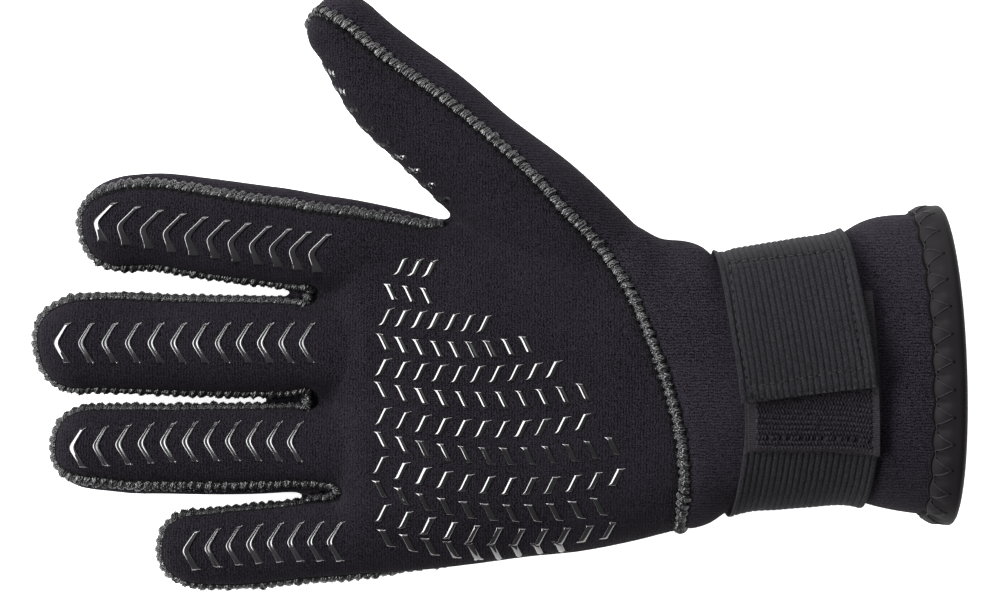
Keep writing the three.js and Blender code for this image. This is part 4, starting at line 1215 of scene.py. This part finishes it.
def strip_angle(phase):
    """The angle round the cuff at a count of stitches."""
    angles = np.unwrap([*ROUND, ROUND[0]], period=360)
    return np.interp(phase * BINDING["steps"] % len(ROUND), np.arange(len(angles)), angles)


def on_strip(phase, share, lift):
    """A place on the strip at a count of stitches."""
    along, off = strip_top(phase, share)
    return by_cuff(strip_angle(phase), along, off + lift)


def strip_edge():
    """The line where the strip's inner edge meets the sheet."""
    phase = np.linspace(0, STITCH_COUNT, STITCH_COUNT * 8 + 1)
    along, _ = strip_top(phase, 0 * phase)
    return by_cuff(strip_angle(phase), along - 0.25, 0.05)


def zigzag():
    """The thread over the strip, and near-black discs of painted shade at the holes where it goes through.
    """
    threads, hole_shades = [], []
    start, middle, end = ZIGZAG["legs"]
    edge, point, size = 0.02, ZIGZAG["reach"], ZIGZAG["hole_shade"]
    turn = around(6)
    for k in range(STITCH_COUNT):
        for (p0, s0), (p1, s1) in (((start, edge), (middle, point)), ((middle, point), (end, edge)),
                                   ((end, edge), (1 + start, edge))):
            t = np.linspace(0, 1, 9)
            arch = np.sin(math.pi * t) ** 0.5
            places = on_strip(k + p0 + (p1 - p0) * t, s0 + (s1 - s0) * t, 0.26 * arch - 0.16)
            threads.append(tube(places, ZIGZAG["thread"], 5))
        for phase, share in ((middle, point), (start, edge + 0.05), (end, edge + 0.05)):
            phases = k + phase + size * np.sin(turn) / ZIGZAG["pitch"]
            shares = share + size * np.cos(turn) / BINDING["width"]
            hole_shades.append(loft([on_strip(phases, shares, lift) for lift in (-0.4, 0.1)]))
    return threads, hole_shades


joined("binding_strip", [binding()], [SKIN], ["cuff_binding"])
threads, hole_shades = zigzag()
# A dark tube along the strip's inner edge: painted shade where the strip meets the sheet.
hole_shades.append(tube(strip_edge(), ZIGZAG["crease_shade"], 5))
joined("binding_stitching", threads, [STITCH])
joined("binding_hole_shade", hole_shades, [HOLE_SHADE])


# Floor, light, camera

FLOOR_SIZE = 6.0
FLOOR_GLOW = 0.8
WORLD_LIGHT = 0.25
LIGHTS_AIM = (0, 0, 0.02)
# Each light: place, width and height, radiance
LIGHTS = {
    "left_softbox": ((-1.60, 0.30, 1.20), (2.80, 1.05), 16),
    "high_softbox": ((0.10, 0.35, 1.30), (1.0, 0.8), 0.8),
    "far_strip": ((0.0, 1.30, 0.85), (1.60, 0.45), 11),
}


def make_floor():
    half = FLOOR_SIZE / 2
    mesh = bpy.data.meshes.new("floor")
    corners = [(-half, -half, 0), (half, -half, 0), (half, half, 0), (-half, half, 0)]
    mesh.from_pydata(corners, [], [(0, 1, 2, 3)])
    paper = Nodes("floor_paper")
    paper.shader.inputs["Emission Color"].default_value = (1, 1, 1, 1)
    mesh.materials.append(paper.finish(paper.tones(paper.noise(3), (1, 1, 1), 0.78, 0.8), 0.9,
                                       Emission_Strength=FLOOR_GLOW))
    add_object("floor", mesh)


def area_light(name, at, size, radiance):
    light = bpy.data.lights.new(name, "AREA")
    light.shape = "RECTANGLE"
    light.size, light.size_y = size
    light.energy = radiance * math.pi * size[0] * size[1]
    obj = add_object(name, light)
    obj.location = at
    obj.rotation_euler = (Vector(LIGHTS_AIM) - Vector(at)).to_track_quat("-Z", "Y").to_euler()


def make_camera():
    camera = bpy.data.cameras.new("camera")
    camera.sensor_width = 36.0
    camera.lens = camera.sensor_width * (CAMERA_Z - FOCUS_Z) / PICTURE_WIDTH
    camera.clip_start = 0.05
    view = add_object("camera", camera)
    view.location = (OFFSET[0] / 1000, OFFSET[1] / 1000, CAMERA_Z / 1000)
    bpy.context.scene.camera = view


bpy.context.scene.view_settings.view_transform = "Standard"
make_floor()
world = bpy.data.worlds.new("studio")
bpy.context.scene.world = world
world.use_nodes = True
background = world.node_tree.nodes["Background"]
background.inputs["Color"].default_value = (1, 1, 1, 1)
background.inputs["Strength"].default_value = WORLD_LIGHT
for name, (at, size, radiance) in LIGHTS.items():
    area_light(name, at, size, radiance)
make_camera()
